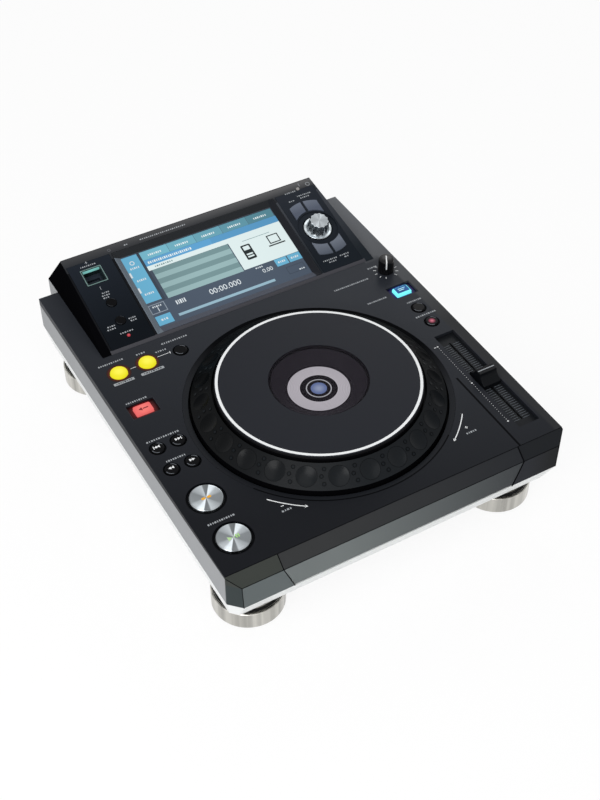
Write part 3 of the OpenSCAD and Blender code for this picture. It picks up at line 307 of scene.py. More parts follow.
def turned_frames(angles, origin=(0.0, 0.0, 0.0)):
    """Frames at one point, turned about the vertical by each angle in degrees."""
    turn = np.radians(angles)
    zero, one = np.zeros_like(turn), np.ones_like(turn)
    along, across = np.cos(turn), np.sin(turn)
    rows = [[along, -across, zero], [across, along, zero], [zero, zero, one]]
    return np.array(rows).transpose(2, 0, 1), np.tile(origin, (len(turn), 1))


def rods(starts, ends, radius, sides=6):
    """Thin straight rods: a small polygon carried from each start to its end."""
    starts, along = np.asarray(starts, float), np.asarray(ends, float) - np.asarray(starts, float)
    axis = along / np.linalg.norm(along, axis=1, keepdims=True)
    level = np.where(np.abs(axis[:, 2:]) > 0.9, np.array([[1.0, 0.0, 0.0]]), np.array([[0.0, 0.0, 1.0]]))
    first = np.cross(axis, level)
    first /= np.linalg.norm(first, axis=1, keepdims=True)
    second = np.cross(axis, first)
    turns = np.stack([first * radius, second * radius, along], axis=2)
    return repeated(slab(circle(1.0, count=sides), 0.0, 1.0), (turns, starts))


def small_print(centre, width, height=1.3, lift=0.0):
    """A row of dashes of uneven length, as print too small to read looks: each dash fills a share of its
    pitch that swings with the sine of its number."""
    count = max(2, round(width / DASH_PITCH))
    pitch = width / count
    number = np.arange(count)
    share = 0.56 + 0.2 * np.sin(2.4 * number + 0.3 * width)
    places = np.stack([(number + 0.5) * pitch - width / 2, np.zeros(count), np.zeros(count)], axis=1)
    scales = np.stack([share * pitch, np.full(count, height), np.ones(count)], axis=1)
    dash = slab(oblong((-0.5, -0.5), (0.5, 0.5)), 0.0, INK)
    return repeated(dash, upright(places + np.array([*centre, lift]), scales))


def numerals(text, height, centre, lift):
    """Figures in Blender's own font, made a mesh of that height before it is moved to its place."""
    curve = bpy.data.curves.new("numerals", "FONT")
    curve.body, curve.align_x, curve.align_y = text, "CENTER", "CENTER"
    curve.size, curve.extrude = height / FIGURE_SHARE, INK / 2
    holder = bpy.data.objects.new("numerals", curve)
    mesh = holder.to_mesh()
    points = np.empty(len(mesh.vertices) * 3)
    mesh.vertices.foreach_get("co", points)
    corners = np.empty(len(mesh.loops), int)
    mesh.loops.foreach_get("vertex_index", corners)
    sizes = np.empty(len(mesh.polygons), int)
    mesh.polygons.foreach_get("loop_total", sizes)
    holder.to_mesh_clear()
    bpy.data.objects.remove(holder)
    bpy.data.curves.remove(curve)
    return points.reshape(-1, 3) + np.array([*centre, lift + INK / 2]), corners, sizes


class Piece:
    """Gathers the shapes of one piece, each with its finish, and makes them one mesh on a body."""

    def __init__(self, name, body, place, slot):
        self.name, self.body, self.place, self.slot = name, body, place, slot
        self.points, self.corners, self.sizes, self.finish = [], [], [], []
        self.materials, self.count = [], 0

    def add(self, shape, material):
        """Puts a shape in, moved from the local frame to metres."""
        points, corners, sizes = shape
        if material not in self.materials:
            self.materials.append(material)
        self.points.append(points @ self.place[:3, :3].T + self.place[:3, 3])
        self.corners.append(corners + self.count)
        self.sizes.append(sizes)
        self.finish.append(np.full(len(sizes), self.materials.index(material)))
        self.count += len(points)

    def add_flat(self, outlines, low, material):
        """Puts flat outlines in, each with a hair of thickness over the given height."""
        for outline in outlines:
            self.add(slab(outline, low, low + INK), material)

    def build(self):
        """Writes the arrays into a mesh, smooths its flatter edges and lets it ride on its body."""
        points, corners = np.concatenate(self.points), np.concatenate(self.corners)
        sizes, finish = np.concatenate(self.sizes), np.concatenate(self.finish)
        mesh = bpy.data.meshes.new(self.name)
        mesh.vertices.add(len(points))
        mesh.vertices.foreach_set("co", points.ravel())
        mesh.loops.add(len(corners))
        mesh.loops.foreach_set("vertex_index", corners.astype(np.int32))
        mesh.polygons.add(len(sizes))
        starts = np.concatenate([[0], np.cumsum(sizes)[:-1]])
        mesh.polygons.foreach_set("loop_start", starts.astype(np.int32))
        mesh.polygons.foreach_set("material_index", finish.astype(np.int32))
        for material in self.materials:
            mesh.materials.append(material)
        mesh.update(calc_edges=True)
        if mesh.validate():
            raise RuntimeError(f"{self.name} has faces that don't close")
        mesh.shade_smooth()
        mesh.set_sharp_from_angle(angle=radians(SMOOTH_ANGLE))
        thing = bpy.data.objects.new(self.name, mesh)
        bpy.context.scene.collection.objects.link(thing)
        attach(thing, self.body)
        return thing


def flat_piece(name, body, place, slot, outlines, low, material):
    """A piece of flat outlines in one finish."""
    piece = Piece(name, body, place, slot)
    piece.add_flat(outlines, low, material)
    piece.build()


# Node groups and materials


def add(tree, kind, inputs=None, **settings):
    """A node with its settings; each input takes a value or another node's output."""
    node = tree.nodes.new(kind)
    for key, value in settings.items():
        setattr(node, key, value)
    for key, value in (inputs or {}).items():
        if isinstance(value, bpy.types.NodeSocket):
            tree.links.new(value, node.inputs[key])
        else:
            node.inputs[key].default_value = value
    return node


def new_group(name, inputs, outputs):
    """An empty shader group with named sockets: its tree, its inputs and its outputs' node."""
    tree = bpy.data.node_groups.new(name, "ShaderNodeTree")
    for label, kind in inputs.items():
        tree.interface.new_socket(name=label, in_out="INPUT", socket_type=kind)
    for label, kind in outputs.items():
        tree.interface.new_socket(name=label, in_out="OUTPUT", socket_type=kind)
    return tree, add(tree, "NodeGroupInput").outputs, add(tree, "NodeGroupOutput")


COLOUR, VALUE, VECTOR = "NodeSocketColor", "NodeSocketFloat", "NodeSocketVector"
FINISH_OUT = {"Color": COLOUR, "Roughness": VALUE, "Height": VALUE}


def object_place(tree):
    """The point's place in Object coordinates, which are the row frame's metres."""
    return add(tree, "ShaderNodeTexCoord").outputs["Object"]


def spread(tree, source, low, high):
    """A 0 to 1 value stretched between low and high."""
    return add(tree, "ShaderNodeMapRange", {"Value": source, "To Min": low, "To Max": high}).outputs["Result"]


def reckon(tree, operation, first, second=0.0):
    """One arithmetic step."""
    return add(tree, "ShaderNodeMath", {0: first, 1: second}, operation=operation).outputs[0]


def vector_step(tree, operation, first, second=(0.0, 0.0, 0.0), result=0):
    """One step of vector arithmetic: output 0 is a vector, "Value" a number."""
    return add(tree, "ShaderNodeVectorMath", {0: first, 1: second}, operation=operation).outputs[result]


def times(tree, colour, value):
    """A colour darkened or lightened by a value."""
    mix = add(tree, "ShaderNodeMix", {0: 1.0, 6: colour, 7: value}, data_type="RGBA", blend_type="MULTIPLY")
    return mix.outputs[2]


def blend(tree, share, first, second):
    """The first colour where the share is 0, the second where it is 1."""
    return add(tree, "ShaderNodeMix", {0: share, 6: first, 7: second}, data_type="RGBA").outputs[2]


def vary(tree, colour, roughness, pattern, depth, rough_depth):
    """Colour and roughness that rise and fall with a 0 to 1 pattern by the given shares."""
    low, high = reckon(tree, "SUBTRACT", 1.0, depth), reckon(tree, "ADD", 1.0, depth)
    shade = times(tree, colour, spread(tree, pattern, low, high))
    swing = spread(tree, pattern, -rough_depth, rough_depth)
    return shade, reckon(tree, "ADD", roughness, swing)


def put_out(tree, out, shade, rough, height):
    """Links a finish group's three outputs."""
    for name, source in [("Color", shade), ("Roughness", rough), ("Height", height)]:
        tree.links.new(source, out.inputs[name])
    return tree


def noise(tree, inputs, **settings):
    """A noise texture's value, 0 to 1."""
    return add(tree, "ShaderNodeTexNoise", inputs, **settings).outputs[0]


def moulded_grain():
    """Fine grain as relief, with broad mottling of colour and roughness, as on painted or moulded plastic."""
    sockets = {"Tint": COLOUR, "Roughness": VALUE, "Scale": VALUE, "Mottle": VALUE}
    tree, given, out = new_group("Moulded Grain", sockets, FINISH_OUT)
    place = object_place(tree)
    fine = noise(tree, {"Vector": place, "Scale": given["Scale"], "Detail": 3.0})
    broad = noise(tree, {"Vector": place, "Scale": 34.0, "Detail": 4.0, "Roughness": 0.62})
    shade, rough = vary(tree, given["Tint"], given["Roughness"], broad, given["Mottle"], 0.06)
    return put_out(tree, out, shade, rough, fine)


def brushed_lines():
    """Noise stretched along one direction, as on brushed metal: Stretch is its scale along each axis."""
    sockets = {"Tint": COLOUR, "Roughness": VALUE, "Stretch": VECTOR, "Depth": VALUE}
    tree, given, out = new_group("Brushed Lines", sockets, FINISH_OUT)
    long = vector_step(tree, "MULTIPLY", object_place(tree), given["Stretch"])
    lines = noise(tree, {"Vector": long, "Scale": 1.0, "Detail": 5.0})
    shade, rough = vary(tree, given["Tint"], given["Roughness"], lines, given["Depth"], 0.12)
    return put_out(tree, out, shade, rough, lines)


# Shades of the painted reflection fan on turned metal, from 12 o'clock clockwise round half a turn
FAN_REFLECTION_SHADES = [
    (0.0, 0.34), (0.015, 0.36), (0.035, 1.75), (0.13, 1.6), (0.2, 0.95), (0.3, 0.8), (0.37, 0.5),
    (0.62, 0.48), (0.68, 0.72), (0.88, 1.1), (0.915, 0.4), (1.0, 0.34),
]


def fan_ramp(tree, share):
    """The painted reflection fan's shade for a share of half a turn."""
    ramp = add(tree, "ShaderNodeValToRGB", {"Fac": share})
    stops = ramp.color_ramp.elements
    for stop, (spot_share, shade) in zip([stops[0], stops[1]], [FAN_REFLECTION_SHADES[0], FAN_REFLECTION_SHADES[-1]]):
        stop.position, stop.color = spot_share, (shade, shade, shade, 1.0)
    for spot_share, shade in FAN_REFLECTION_SHADES[1:-1]:
        stops.new(spot_share).color = (shade, shade, shade, 1.0)
    return ramp.outputs["Color"]


def spun_metal():
    """Turning lines round a centre and a painted reflection, a fan of light and dark wedges: the fan follows
    the angle from the Along to the Across direction, folded to half a turn, so opposite wedges are alike."""
    sockets = {
        "Tint": COLOUR, "Roughness": VALUE, "Centre": VECTOR, "Along": VECTOR, "Across": VECTOR,
        "Fan": VALUE, "Depth": VALUE,
    }
    tree, given, out = new_group("Spun Metal", sockets, FINISH_OUT)
    away = vector_step(tree, "SUBTRACT", object_place(tree), given["Centre"])
    radius = vector_step(tree, "LENGTH", away, result="Value")
    lines = noise(tree, {"W": radius, "Scale": 2600.0, "Detail": 3.0}, noise_dimensions="1D")
    ahead = vector_step(tree, "DOT_PRODUCT", away, given["Along"], "Value")
    aside = vector_step(tree, "DOT_PRODUCT", away, given["Across"], "Value")
    turn = reckon(tree, "DIVIDE", reckon(tree, "ARCTAN2", aside, ahead), pi)
    fan = fan_ramp(tree, reckon(tree, "FRACT", reckon(tree, "ADD", turn, 1.0)))
    fanned = blend(tree, given["Fan"], given["Tint"], times(tree, given["Tint"], fan))
    shade, rough = vary(tree, fanned, given["Roughness"], lines, given["Depth"], 0.08)
    return put_out(tree, out, shade, rough, lines)


def lit_falloff():
    """Light through a cap: the core colour at the centre fades to the rim colour at the reach."""
    sockets = {"Core": COLOUR, "Rim": COLOUR, "Centre": VECTOR, "Reach": VALUE}
    tree, given, out = new_group("Lit Falloff", sockets, {"Color": COLOUR})
    away = vector_step(tree, "DISTANCE", object_place(tree), given["Centre"], "Value")
    share = reckon(tree, "DIVIDE", away, given["Reach"])
    ease = add(tree, "ShaderNodeMapRange", {"Value": share}, interpolation_type="SMOOTHSTEP")
    faded = blend(tree, ease.outputs["Result"], given["Core"], given["Rim"])
    tree.links.new(faded, out.inputs["Color"])
    return tree


def split_tint():
    """Two paints that meet across a plane: Upper where the place's reach along Direction is over Level,
    Lower where it is under, with a change over twice the Blend."""
    sockets = {"Upper": COLOUR, "Lower": COLOUR, "Direction": VECTOR, "Level": VALUE, "Blend": VALUE}
    tree, given, out = new_group("Split Tint", sockets, {"Color": COLOUR})
    reach = vector_step(tree, "DOT_PRODUCT", object_place(tree), given["Direction"], "Value")
    over = reckon(tree, "DIVIDE", reckon(tree, "SUBTRACT", reach, given["Level"]), given["Blend"])
    share = add(tree, "ShaderNodeMapRange", {"Value": over, "From Min": -1.0}).outputs["Result"]
    tree.links.new(blend(tree, share, given["Lower"], given["Upper"]), out.inputs["Color"])
    return tree


GROUPS = {
    "grain": moulded_grain,
    "brushed": brushed_lines,
    "spun": spun_metal,
    "lit": lit_falloff,
    "split": split_tint,
}
made_groups = {}


def group(kind):
    """The node group of that kind, built once."""
    if kind not in made_groups:
        made_groups[kind] = GROUPS[kind]()
    return made_groups[kind]


def opaque(colour):
    """A colour with full alpha; a colour that is worked out in the tree stays as it is."""
    return colour if callable(colour) else (*colour, 1.0)


def placed_group(tree, kind, values):
    """A group in a material's tree; a value that is a function makes its own nodes there first."""
    given = {key: value(tree) if callable(value) else value for key, value in values.items()}
    return add(tree, "ShaderNodeGroup", given, node_tree=group(kind))


def two_tone(upper, lower, direction, level, change=0.0001):
    """A tint that differs on the two sides of a plane across the direction."""
    values = {
        "Upper": opaque(upper),
        "Lower": opaque(lower),
        "Direction": direction,
        "Level": level,
        "Blend": change,
    }
    return lambda tree: placed_group(tree, "split", values).outputs["Color"]


SOCKET_NAMES = {"specular": "Specular IOR Level", "metallic": "Metallic", "alpha": "Alpha"}
METAL = {"metallic": 1.0}
# Depth of the finishes' relief at full strength, in metres
RELIEF_DEPTH = 0.0004


def new_material(name, sockets):
    """An empty material: its tree and its shader, with the sockets set; a function makes its own nodes."""
    material = bpy.data.materials.new(name)
    material.use_nodes = True
    tree = material.node_tree
    shader = tree.nodes["Principled BSDF"]
    for key, value in sockets.items():
        socket = shader.inputs[SOCKET_NAMES[key]]
        if callable(value):
            tree.links.new(value(tree), socket)
        else:
            socket.default_value = value
    return material, tree, shader


def finish(name, kind, values, relief, sockets):
    """A material whose colour, roughness and relief come from a group."""
    material, tree, shader = new_material(name, sockets)
    source = placed_group(tree, kind, values)
    tree.links.new(source.outputs["Color"], shader.inputs["Base Color"])
    tree.links.new(source.outputs["Roughness"], shader.inputs["Roughness"])
    if relief:
        height = {"Height": source.outputs["Height"], "Strength": relief, "Distance": RELIEF_DEPTH}
        bump = add(tree, "ShaderNodeBump", height)
        tree.links.new(bump.outputs["Normal"], shader.inputs["Normal"])
    return material


def grained(name, colour, roughness, scale=2200.0, mottle=0.08, relief=0.1, **sockets):
    """Painted or moulded plastic, rubber or ink."""
    values = {"Tint": opaque(colour), "Roughness": roughness, "Scale": scale, "Mottle": mottle}
    return finish(name, "grain", values, relief, sockets)


def brushed(name, colour, roughness, stretch, depth=0.12, relief=0.15):
    """Brushed or rolled metal."""
    values = {"Tint": opaque(colour), "Roughness": roughness, "Stretch": stretch, "Depth": depth}
    return finish(name, "brushed", values, relief, METAL)


# Angle on the deck at which the painted reflection fan of the key discs starts
FAN_START = 60.2
TURNING_DEPTH, TURNING_RELIEF = 0.1, 0.12


def spun(name, colour, roughness, centre, fan=1.0, start=FAN_START):
    """Metal turned on a lathe, with a painted reflection, a fan of light and dark wedges of the given
    strength, which starts at an angle in degrees and runs clockwise."""
    aim = radians(start)
    values = {
        "Tint": opaque(colour), "Roughness": roughness, "Centre": centre, "Fan": fan, "Depth": TURNING_DEPTH,
        "Along": (cos(aim), sin(aim), 0.0), "Across": (sin(aim), -cos(aim), 0.0),
    }
    return finish(name, "spun", values, TURNING_RELIEF, METAL)


def scaled(colour, share):
    """A colour times a share."""
    return tuple(share * value for value in colour)


def lit(name, core, rim, centre, reach, strength=0.9, roughness=0.35, body_level=0.2, specular=0.1):
    """A lit cap or print: its light fades from core to rim, over a darker body of the rim's colour."""
    material, tree, shader = new_material(name, {"specular": specular})
    values = {"Core": opaque(core), "Rim": opaque(rim), "Centre": centre, "Reach": reach}
    source = placed_group(tree, "lit", values)
    shader.inputs["Base Color"].default_value = opaque(scaled(rim, body_level))
    shader.inputs["Roughness"].default_value = roughness
    shader.inputs["Emission Strength"].default_value = strength
    tree.links.new(source.outputs["Color"], shader.inputs["Emission Color"])
    return material


def spot(place, x, y, z=0.0):
    """A local point in metres of the row frame."""
    return tuple(float(value) for value in place[:3, :3] @ np.array([x, y, z]) + place[:3, 3])


def smooth_paint(name, colour, roughness=0.4, specular=0.1, mottle=0.08):
    """Paint with hardly any relief."""
    return grained(name, colour, roughness, mottle=mottle, relief=0.02, specular=specular)


def print_ink(name, colour, specular=0.1):
    """An ink of the given name, made once."""
    return bpy.data.materials.get(name) or smooth_paint(name, colour, 0.5, specular, 0.05)


def white_ink(scene):
    """The print's white ink."""
    return print_ink("white_print", scene.case_colours.ink)


def grey_ink():
    """The dimmer print of scales and labels."""
    return print_ink("grey_print", linear(158, 162, 166))


def dark_line():
    """Near-black of gaps, painted shadow lines, painted shade in the key dishes, and dark print."""
    return print_ink("dark_line", linear(6, 7, 9), 0.02)


def repaint(node, material):
    """Gives a CAD node one finish."""
    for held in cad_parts[node].material_slots:
        held.material = material


# The case and the other CAD nodes


# Where paints meet, in metres over the deck: foot of the front's bevel, of the jog grip's slope and of the
# well's lip, and edge of the jog plate
BEVEL_FOOT = -0.0081
# Under the grip slope's foot the grip is painted black, as painted shade.
GRIP_FOOT = 0.0034
LIP_FOOT = -0.0009
PLATE_EDGE = 0.0198
# Depth of the housing's front strip, half widths of the housing and the screen, and the housing's crest
TRIM_DEPTH = 0.0025
HOUSING_HALF = 0.1268
SCREEN_HALF = 0.0763
HOUSING_CREST = 0.1772
BLACK = linear(7, 7, 9)
# Place of the quantize lamp on the slope, in millimetres
QUANTIZE_AT = (-105.15, 11.6)
UP, BACK, LEFT, RIGHT = (0.0, 0.0, 1.0), (0.0, 1.0, 0.0), (-1.0, 0.0, 0.0), (1.0, 0.0, 0.0)
# From the deck's front left to its back right, across the slanting inner edge of its right strip, and
# across the well's lip from near to far
DECK_AIM, STRIP_AIM, LIP_AIM = (0.45, 0.893, 0.0), (1.0, 0.023, 0.0), (0.5, 0.866, 0.0)
# Level and half width of each change of painted light along these: on the lip (painted sheen), on the deck
# (painted reflection), along the right strip (painted highlight), at the strip's inner edge, and where the
# wider ledge at the back starts
LIP_SPLIT = (LIP_AIM, -0.01, 0.025)
DECK_SPLIT = (DECK_AIM, -0.057, 0.125)
STRIP_FADE = (BACK, 0.1066, 0.137)
STRIP_EDGE = (STRIP_AIM, 0.14235, 0.0012)
LEDGE_START = (BACK, 0.0735, 0.004)
LEDGE_EDGE = 0.125
STRIP_SHADE = 0.112


def front_finish(name, face, bevel):
    """Satin paint of a front piece: bevel over face."""
    tones = two_tone(bevel, face, UP, DECK_TOP + BEVEL_FOOT)
    return grained(name, tones, 0.36, 2400.0, 0.04, 0.06, specular=0.07)


def paint_front(case):
    """Painted light and shade on the front: the apron darkens to its right end, the left corner has a darker
    chamfer, the right one is dark.
    """
    face = two_tone(case.face, linear(39, 42, 47), LEFT, -0.035, 0.095)
    bevel = two_tone(case.bevel, linear(36, 38, 42), LEFT, -0.03, 0.1)
    chamfer = two_tone(linear(52, 59, 60), linear(94, 101, 102), LEFT, 0.1437)
    right_face = two_tone(linear(28, 31, 38), linear(8, 11, 15), LEFT, -0.125, 0.012)
    for node, name, tones in [
        ("front_apron", "apron_satin", (face, bevel)),
        ("front_corner_left", "left_corner_satin", (chamfer, linear(57, 60, 57))),
        ("front_corner_right", "right_corner_satin", (right_face, linear(29, 31, 34))),
    ]:
        repaint(node, front_finish(name, *tones))


def up_slope(upper, lower, y, change=0.0001):
    """A tint that differs over and under a line across the slope."""
    along = (0.0, cos(radians(SLOPE_TILT)), sin(radians(SLOPE_TILT)))
    return two_tone(upper, lower, along, float(np.dot(along, spot(SLOPE, 0.0, y))), change)


def screen_tint():
    """Painted light on the screen frame's bevels: pale on the left, grey in front, dark on the right and at
    the back.
    """
    near = two_tone(linear(102, 111, 120), linear(74, 78, 89), LEFT, SCREEN_HALF)
    return two_tone(linear(28, 30, 35), up_slope(linear(35, 37, 40), near, 91.2), RIGHT, SCREEN_HALF)


def deck_tint(case):
    """The deck's paint with painted reflection, lighter at the back, and a painted highlight on a strip along
    its right edge that gets lighter still.
    """
    paint = two_tone(case.deck_rear_reflection, case.deck, *DECK_SPLIT)
    strip = two_tone(case.edge, scaled(case.edge, STRIP_SHADE), *STRIP_FADE)
    ledge = two_tone(strip, paint, RIGHT, LEDGE_EDGE)
    return two_tone(ledge, two_tone(strip, paint, *STRIP_EDGE), *LEDGE_START)


def housing_tint(case):
    """Gloss black with painted reflection: paler along the rim and up the right border; painted shade makes
    the left side black, and the back is black.
    """
    border = up_slope(linear(68, 71, 77), linear(33, 38, 43), 52.0, 0.04)
    crest = two_tone(linear(104, 104, 105), linear(68, 69, 71), RIGHT, 0.0, 0.12)
    rim = up_slope(crest, linear(45, 47, 51), 101.0, 0.0055)
    top = up_slope(rim, two_tone(border, case.gloss, RIGHT, 0.0), 91.4)
    front = two_tone(top, case.trim, BACK, SLOPE_FOOT[1] + TRIM_DEPTH)
    right = two_tone(border, two_tone(case.gloss, front, BACK, HOUSING_CREST), RIGHT, HOUSING_HALF)
    return two_tone(BLACK, right, LEFT, HOUSING_HALF)


def grip_tint(case):
    """The jog grip's paint with painted light: lighter on its slope at the front, and black under it as
    painted shade.
    """
    slope = two_tone(scaled(case.grip, 0.3), scaled(case.grip, 1.35), BACK, -0.12, 0.05)
    return two_tone(slope, BLACK, UP, DECK_TOP + GRIP_FOOT)


def even(level):
    """One level in all channels, for a socket that takes a number."""
    return (level, level, level)


def grip_gloss():
    """How much the jog grip mirrors: most on its slope at the near left, little at the back and under it."""
    slope = two_tone(even(0.015), even(0.1), LIP_AIM, -0.085, 0.04)
    return two_tone(slope, even(0.01), UP, DECK_TOP + GRIP_FOOT)


def case_finishes(case):
    """Finishes of the case, the housing and the jog wheel by the record's material slots."""
    deck, housing, grip, smoke = deck_tint(case), housing_tint(case), grip_tint(case), linear(40, 37, 44)
    plate = two_tone(case.plate, BLACK, UP, DECK_TOP + PLATE_EDGE)
    # The lip is black, with a painted sheen on its near side.
    lip = two_tone(linear(7, 8, 10), linear(25, 27, 31), *LIP_SPLIT)
    well = two_tone(lip, BLACK, UP, DECK_TOP + LIP_FOOT)
    side_gloss = two_tone(even(0.0), even(0.008), LEFT, HOUSING_HALF)
    lip_gloss = two_tone(even(0.008), even(0.06), *LIP_SPLIT)
    return {
        "case_black": grained("deck_satin", deck, 0.42, 2600.0, 0.06, 0.12, specular=0.07),
        "gloss_black": grained("housing_gloss", housing, 0.24, 900.0, 0.06, 0.01, specular=side_gloss),
        "case_silver": grained("side_paint", case.side, 0.4, 2400.0, 0.03, 0.08, specular=0.2),
        "front_grey": grained("front_satin", case.face, 0.36, 2400.0, 0.04, 0.06, specular=0.07),
        "well_black": grained("well_black", well, 0.5, 1800.0, 0.08, 0.08, specular=lip_gloss),
        "bearing_white": grained("bearing_nylon", linear(225, 224, 218), 0.5, 1200.0, 0.04, 0.04),
        "jog_label": grained("label_black", linear(58, 54, 60), 0.4, 1600.0, 0.06, 0.03, specular=0.04),
        "jog_rubber_black": grained("jog_grip", grip, 0.28, 2600.0, 0.08, 0.04, specular=grip_gloss()),
        "jog_top": grained("jog_plate_satin", plate, 0.36, 2600.0, 0.05, 0.06, specular=0.06),
        "clear_window": grained("smoked_window", smoke, 0.2, 400.0, 0.05, 0.0, specular=0.03, alpha=0.3),
        "screen_grey": grained("screen_bevel", screen_tint(), 0.34, 2200.0, 0.05, 0.05, specular=0.08),
        "foot_black": grained("foot_black", linear(14, 14, 15), 0.55, 1500.0, 0.1, 0.16, specular=0.1),
        # Deep brushed streaks on the feet: partly brushing, partly painted reflection streaks.
        "foot_silver": brushed("foot_silver", case.foot, 0.3, (110.0, 110.0, 2.0), 1.1, 0.06),
    }


def browse_tint():
    """Slate of the browse keys with painted highlights: each row is paler towards the back."""
    rear = up_slope(linear(108, 115, 129), linear(82, 89, 104), 78.0, 0.006)
    near = up_slope(linear(108, 115, 127), linear(74, 81, 93), 25.0, 0.006)
    return up_slope(rear, near, 51.0)


def fitting_finishes(case, glow):
    """Finishes of the sockets, keys, fader and inner pieces by the record's material slots."""
    black, lamp = linear(11, 11, 13), spot(SLOPE, *QUANTIZE_AT)
    return {
        "screen_glass": grained("screen_glass", black, 0.1, 500.0, 0.04, 0.0, specular=0.1),
        "lit_frame": grained("slot_frame", linear(30, 42, 44), 0.3, 1200.0, 0.06, 0.02, specular=0.1),
        "socket_metal": brushed("socket_nickel", linear(188, 188, 184), 0.3, (900.0, 60.0, 60.0)),
        "lamp_red": lit("lamp_red", linear(214, 110, 118), scaled(glow.lamp, 0.6), lamp, 0.0016),
        "rear_black": grained("rear_black", linear(28, 28, 30), 0.5, 1500.0, 0.08, 0.16, specular=0.15),
        "fader_grey": grained("fader_plate", linear(23, 25, 28), 0.45, 2400.0, 0.06, 0.08, specular=0.08),
        "fader_steel": brushed("fader_steel", linear(160, 162, 164), 0.32, (60.0, 60.0, 900.0)),
        "cap_black": grained("cap_satin", linear(12, 14, 17), 0.34, 2400.0, 0.06, 0.06, specular=0.07),
        "board_green": grained("board_green", linear(28, 84, 52), 0.4, 700.0, 0.1, 0.04),
        "screw_steel": brushed("screw_steel", linear(120, 122, 124), 0.35, (1200.0, 80.0, 80.0)),
        "selector_metal": brushed("selector_metal", case.metal, 0.2, (40.0, 40.0, 2200.0), 0.08),
        "key_disc": brushed("key_disc_metal", case.metal, 0.3, (900.0, 900.0, 60.0)),
        "loop_yellow": grained("loop_cap", glow.loop, 0.35),
        "reverse_red": grained("reverse_cap", glow.reverse, 0.35),
        "mode_blue": grained("mode_cap", glow.mode, 0.35),
        "key_black": grained("key_gloss", black, 0.2, 900.0, 0.06, 0.01, specular=0.04),
        "browse_grey": grained("browse_slate", browse_tint(), 0.38, 2200.0, 0.06, 0.08, specular=0.1),
    }


# How far the nodes' sharp edges are rounded, in millimetres
EDGE_WIDTHS = {
    "front_apron": 0.4,
    "front_corner_left": 0.4,
    "front_corner_right": 0.4,
    "side_panel_left": 0.6,
    "side_panel_right": 0.6,
    "bottom_pan": 0.4,
    "display_housing": 0.6,
    "screen_frame": 0.25,
    "tempo_fader_cap": 0.5,
    "back_button": 0.4,
    "tag_button": 0.4,
    "filter_button": 0.4,
    "shortcut_button": 0.4,
}
# Points closer than this are merged, in metres, and edges sharper than this are rounded, in degrees
MERGE_REACH = 1e-6
EDGE_ANGLE = 28.0


def soften_edges(node, width):
    """Merges a node's loose triangles and rounds its sharp edges, as live modifiers over the CAD mesh."""
    weld = node.modifiers.new("merge", "WELD")
    weld.merge_threshold = MERGE_REACH
    bevel = node.modifiers.new("edges", "BEVEL")
    bevel.width, bevel.segments = width / 1000, 2
    bevel.limit_method, bevel.angle_limit = "ANGLE", radians(EDGE_ANGLE)


# Edges and seams of the front, in deck millimetres, for the right half
FRONT_EDGES = [
    ((0.0, 0.0, 0.0), (153.0, 0.0, 0.0)),
    ((0.0, -9.9, -8.1), (144.2, -9.9, -8.1)),
    ((153.0, -1.1, -0.9), (144.2, -9.9, -8.1)),
    ((144.2, -9.9, -8.1), (143.5, -10.6, -31.5)),
]
FRONT_SEAMS = [
    ((109.2, 0.0, 0.0), (109.2, -9.9, -8.1)),
    ((109.2, -9.9, -8.1), (100.2, -10.6, -31.5)),
]
GAP_RADIUS = 0.28
SEAM_RADII = {1.0: 0.6, -1.0: 0.36}
GROOVE = ((110.7, 0.3), (112.4, 88.9))
# Shadow at the foot of the jog well's lip, in front: radius, width, first and last angle
LIP_SHADE = (111.9, 1.1, 213.0, 308.0)
JOG_CENTRE = (0.0, 126.2)


def build_front_gaps():
    """Shadow lines: rods sunk halfway into the front's edges and seams, and flat strips on the deck."""
    gaps = Piece("front_gaps", "case", DECK, "case_black")
    for side, seam_radius in SEAM_RADII.items():
        for lines, radius in [(FRONT_EDGES, GAP_RADIUS), (FRONT_SEAMS, seam_radius)]:
            ends = np.array(lines) * np.array([side, 1.0, 1.0])
            gaps.add(rods(ends[:, 0], ends[:, 1], radius), dark_line())
    gaps.add_flat([oblong(*GROOVE), arc_band(*LIP_SHADE, JOG_CENTRE, 64)], 0.0, dark_line())
    gaps.build()


# Thin bright step on a foot's black shoulder: radii and heights over the floor
FOOT_RADIUS = 29.8
FOOT_STEP = (26.9, 27.5, 16.9, 17.55)


def build_foot_steps(case):
    """A thin bright ring round the shoulder of each foot, as a small section carried round."""
    steps = Piece("foot_steps", "case", FLOOR, "foot_silver")
    bright = brushed("foot_step", case.foot, 0.3, (110.0, 110.0, 2.0), 0.3, 0.02)
    low, high = (1000.0 * np.array(corner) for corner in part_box("foot_rings"))
    for x in (low[0] + FOOT_RADIUS, high[0] - FOOT_RADIUS):
        for y in (low[1] + FOOT_RADIUS, high[1] - FOOT_RADIUS):
            steps.add(ring_slab(*FOOT_STEP, (x, y), 96), bright)
    steps.build()


def paint_panels(case):
    """Paints of the pan and of the gloss panels beside the screen; the panels carry painted reflection, paler
    up the slope, and the right one is paler.
    """
    repaint("bottom_pan", grained("pan_paint", case.pan, 0.42, 2400.0, 0.03, 0.06, specular=0.2))
    left = up_slope(linear(35, 40, 48), linear(18, 22, 27), 62.0, 0.045)
    right = up_slope(linear(44, 48, 55), linear(28, 33, 39), 62.0, 0.045)
    for name, paint in [("usb_panel", left), ("selector_panel", right)]:
        repaint(name, grained(f"{name}_gloss", paint, 0.24, 900.0, 0.06, 0.01, specular=0.015))


